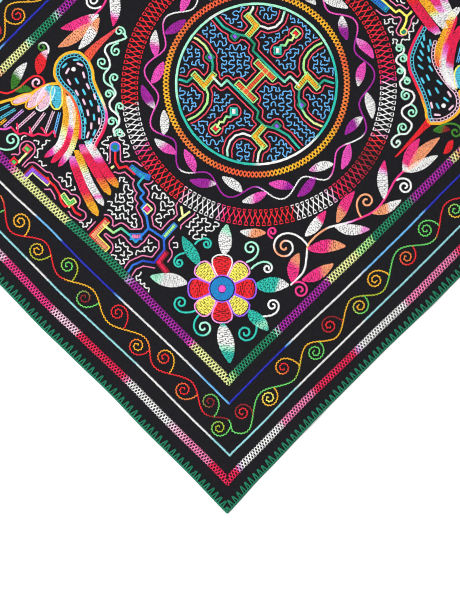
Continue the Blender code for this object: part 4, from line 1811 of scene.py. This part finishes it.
def cotton_sheet():
    """The ground cloth: a fine grid laid on the folds, thicker at its hem."""
    bare()
    cell = settings().cell / MM
    bpy.ops.mesh.primitive_grid_add(
        x_subdivisions=round(LENGTH / cell), y_subdivisions=round(WIDTH / cell), size=1, location=(0, 0, 0)
    )
    cloth = bpy.context.object
    cloth.name = cloth.data.name = "cotton_sheet"
    points = np.empty(len(cloth.data.vertices) * 3, np.float32)
    cloth.data.vertices.foreach_get("co", points)
    flat = points.reshape(-1, 3)[:, :2].astype(float) * (LENGTH, WIDTH)
    placed = spread_out(flat)
    from_sides = np.minimum((LENGTH / 2, WIDTH / 2) - abs(flat), CORNER_REACH).sum(axis=1)
    inward = np.clip(1 - from_sides / CORNER_REACH, 0, 1)[:, None]
    placed[:, :2] -= np.sign(flat) * inward * CORNER_DRAWN_IN
    cloth.data.vertices.foreach_set("co", (placed * MM).astype(np.float32).ravel())
    group = cloth.vertex_groups.new(name="hem")
    hem = settings().hem_thick / MM
    for index, thick in enumerate(thickness(flat) / hem):
        group.add([index], float(thick), "REPLACE")
    bpy.ops.object.mode_set(mode="EDIT")
    bpy.ops.mesh.select_all(action="SELECT")
    bpy.ops.mesh.normals_make_consistent(inside=False)
    bpy.ops.object.mode_set(mode="OBJECT")
    body = cloth.modifiers.new("body", "SOLIDIFY")
    body.thickness = hem * MM
    body.offset = 1
    body.vertex_group = group.name
    bpy.ops.object.modifier_apply(modifier=body.name)
    cloth.data.shade_smooth()
    cloth.data.materials.append(cotton_material())
    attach(cloth, "root")
    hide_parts("cloth_panel")


def sew(name, seed, *jobs, twins=None):
    """Runs the jobs into one piece. twins is the shift of its half that is turned by half a round."""
    sewing = Sewing(seed)
    for job in jobs:
        job(sewing)
    if twins is not None:
        sewing.turned_twin(twins)
    sewn_piece(name, sewing, modelled_stitch())


def outer_band(sewing):
    """The wide band along the rim."""
    lattice_band(sewing, "outer_band", OUTER_BAND_AT, BAND_WIDE + 0.4, 3.4, 1.2, OUTER_BAND)


def inner_band(sewing):
    """The wide band inside the vine."""
    lattice_band(sewing, "inner_band", INNER_BAND_AT, BAND_WIDE + 1, 3.6, 1.25, INNER_BAND)


class CLOTH_OT_cotton(bpy.types.Operator):
    """Makes the black cotton sheet on its folds"""

    bl_idname = "cloth.cotton"
    bl_label = "Cotton sheet"

    def execute(self, context):
        cotton_sheet()
        return {"FINISHED"}


class CLOTH_OT_borders(bpy.types.Operator):
    """Sews the rim, the two lattice bands and the two plain lines"""

    bl_idname = "cloth.borders"
    bl_label = "Borders"

    def execute(self, context):
        sew("edge_stitches", 11, edge_stitches)
        sew("outer_band", 12, outer_band)
        sew("inner_band", 13, inner_band)
        sew("border_lines", 14, border_lines)
        return {"FINISHED"}


class CLOTH_OT_vine(bpy.types.Operator):
    """Sews the border vine and its spirals"""

    bl_idname = "cloth.vine"
    bl_label = "Border vine"

    def execute(self, context):
        sew("border_vine", 15, border_vine)
        return {"FINISHED"}


class CLOTH_OT_medallion(bpy.types.Operator):
    """Sews the medallion's rings and its ring of leaves"""

    bl_idname = "cloth.medallion"
    bl_label = "Medallion"

    def execute(self, context):
        sew("medallion_rings", 21, medallion_rings)
        sew("medallion_vine", 22, ring_vine)
        sew("medallion_maze", 23, medallion_maze)
        return {"FINISHED"}


class CLOTH_OT_flowers(bpy.types.Operator):
    """Sews the two flowers and their sprays of leaves"""

    bl_idname = "cloth.flowers"
    bl_label = "Flowers and sprays"

    def execute(self, context):
        sew("flowers", 31, flower, twins=TWIN_SHIFT)
        sew("sprays", 32, spray, twins=TWIN_SHIFT)
        sew("side_sprigs", 33, side_sprigs)
        return {"FINISHED"}


class CLOTH_OT_birds(bpy.types.Operator):
    """Sews the two birds and the scrolls round them"""

    bl_idname = "cloth.birds"
    bl_label = "Birds"

    def execute(self, context):
        sew("birds", 41, near_bird, far_bird)
        sew("scrolls", 42, scrolls)
        sew("wing_curls", 43, wing_curls, twins=(0, 0))
        return {"FINISHED"}


class CLOTH_OT_mazes(bpy.types.Operator):
    """Sews the two mazes of the field"""

    bl_idname = "cloth.mazes"
    bl_label = "Field mazes"

    def execute(self, context):
        sew("field_mazes", 51, near_maze, far_maze)
        return {"FINISHED"}


class CLOTH_OT_declare(bpy.types.Operator):
    """An empty step that changes nothing"""

    bl_idname = "cloth.declare"
    bl_label = "Declare the sheet"

    def execute(self, context):
        return {"FINISHED"}


VIEW_LONG = 0.64365
EYE_HEIGHT = 4.0
LOOKED_AT = (-184.5 * MM, -141.7 * MM)
SENSOR = 36


class CLOTH_OT_stage(bpy.types.Operator):
    """Adds the pale floor, the soft light and the camera that looks straight down"""

    bl_idname = "cloth.stage"
    bl_label = "Stage"

    def execute(self, context):
        bare()
        bpy.ops.mesh.primitive_plane_add(size=12, location=(0, 0, -0.0003))
        floor = context.object
        floor.name = "floor"
        material, _tree, shader = new_material("pale floor")
        shader.inputs["Base Color"].default_value = (0.93, 0.93, 0.93, 1)
        shader.inputs["Roughness"].default_value = 0.9
        floor.data.materials.append(material)

        world = bpy.data.worlds.new("soft white")
        world.use_nodes = True
        world.node_tree.nodes["Background"].inputs["Color"].default_value = (1, 1, 1, 1)
        world.node_tree.nodes["Background"].inputs["Strength"].default_value = 0.78
        context.scene.world = world
        bpy.ops.object.light_add(type="AREA", location=(-1.6, 0.9, 2.2))
        light = context.object
        light.data.size = 1.6
        light.data.energy = 70
        light.rotation_euler = (math.radians(40), 0, math.radians(-120))
        bpy.ops.object.camera_add(location=(*LOOKED_AT, EYE_HEIGHT), rotation=(0, 0, -math.pi / 4))
        camera = context.object
        camera.data.sensor_width = SENSOR
        camera.data.lens = SENSOR * EYE_HEIGHT / VIEW_LONG
        camera.data.clip_end = 50
        context.scene.camera = camera
        context.scene.view_settings.view_transform = "Standard"
        context.scene.cycles.filter_width = 1.0
        return {"FINISHED"}


OPERATORS = (
    CLOTH_OT_cotton,
    CLOTH_OT_borders,
    CLOTH_OT_vine,
    CLOTH_OT_medallion,
    CLOTH_OT_flowers,
    CLOTH_OT_birds,
    CLOTH_OT_mazes,
    CLOTH_OT_declare,
    CLOTH_OT_stage,
)


class CLOTH_PT_panel(bpy.types.Panel):
    """The steps of making the cloth, with its sizes and colours"""

    bl_label = "Embroidered Cloth"
    bl_idname = "CLOTH_PT_panel"
    bl_space_type = "VIEW_3D"
    bl_region_type = "UI"
    bl_category = "Cloth"

    def draw(self, context):
        group = context.scene.embroidered_cloth
        for name in ("cotton_colour", "cotton_thick", "hem_thick", "cell", "edge_pitch"):
            self.layout.prop(group, name)
        for name in ThreadColours.__annotations__:
            self.layout.prop(group.colours, name)
        for operator in OPERATORS:
            self.layout.operator(operator.bl_idname)


CLASSES = (ThreadColours, ClothSettings, *OPERATORS, CLOTH_PT_panel)


def register():
    for made in CLASSES:
        bpy.utils.register_class(made)
    bpy.types.Scene.embroidered_cloth = bpy.props.PointerProperty(type=ClothSettings)


def unregister():
    del bpy.types.Scene.embroidered_cloth
    for made in reversed(CLASSES):
        bpy.utils.unregister_class(made)


def main():
    register()
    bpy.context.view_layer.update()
    bpy.ops.cloth.cotton()
    bpy.ops.cloth.borders()
    bpy.ops.cloth.vine()
    bpy.ops.cloth.medallion()
    bpy.ops.cloth.flowers()
    bpy.ops.cloth.birds()
    bpy.ops.cloth.mazes()
    bpy.ops.cloth.declare()
    bpy.ops.cloth.stage()


if __name__ == "__main__":
    main()
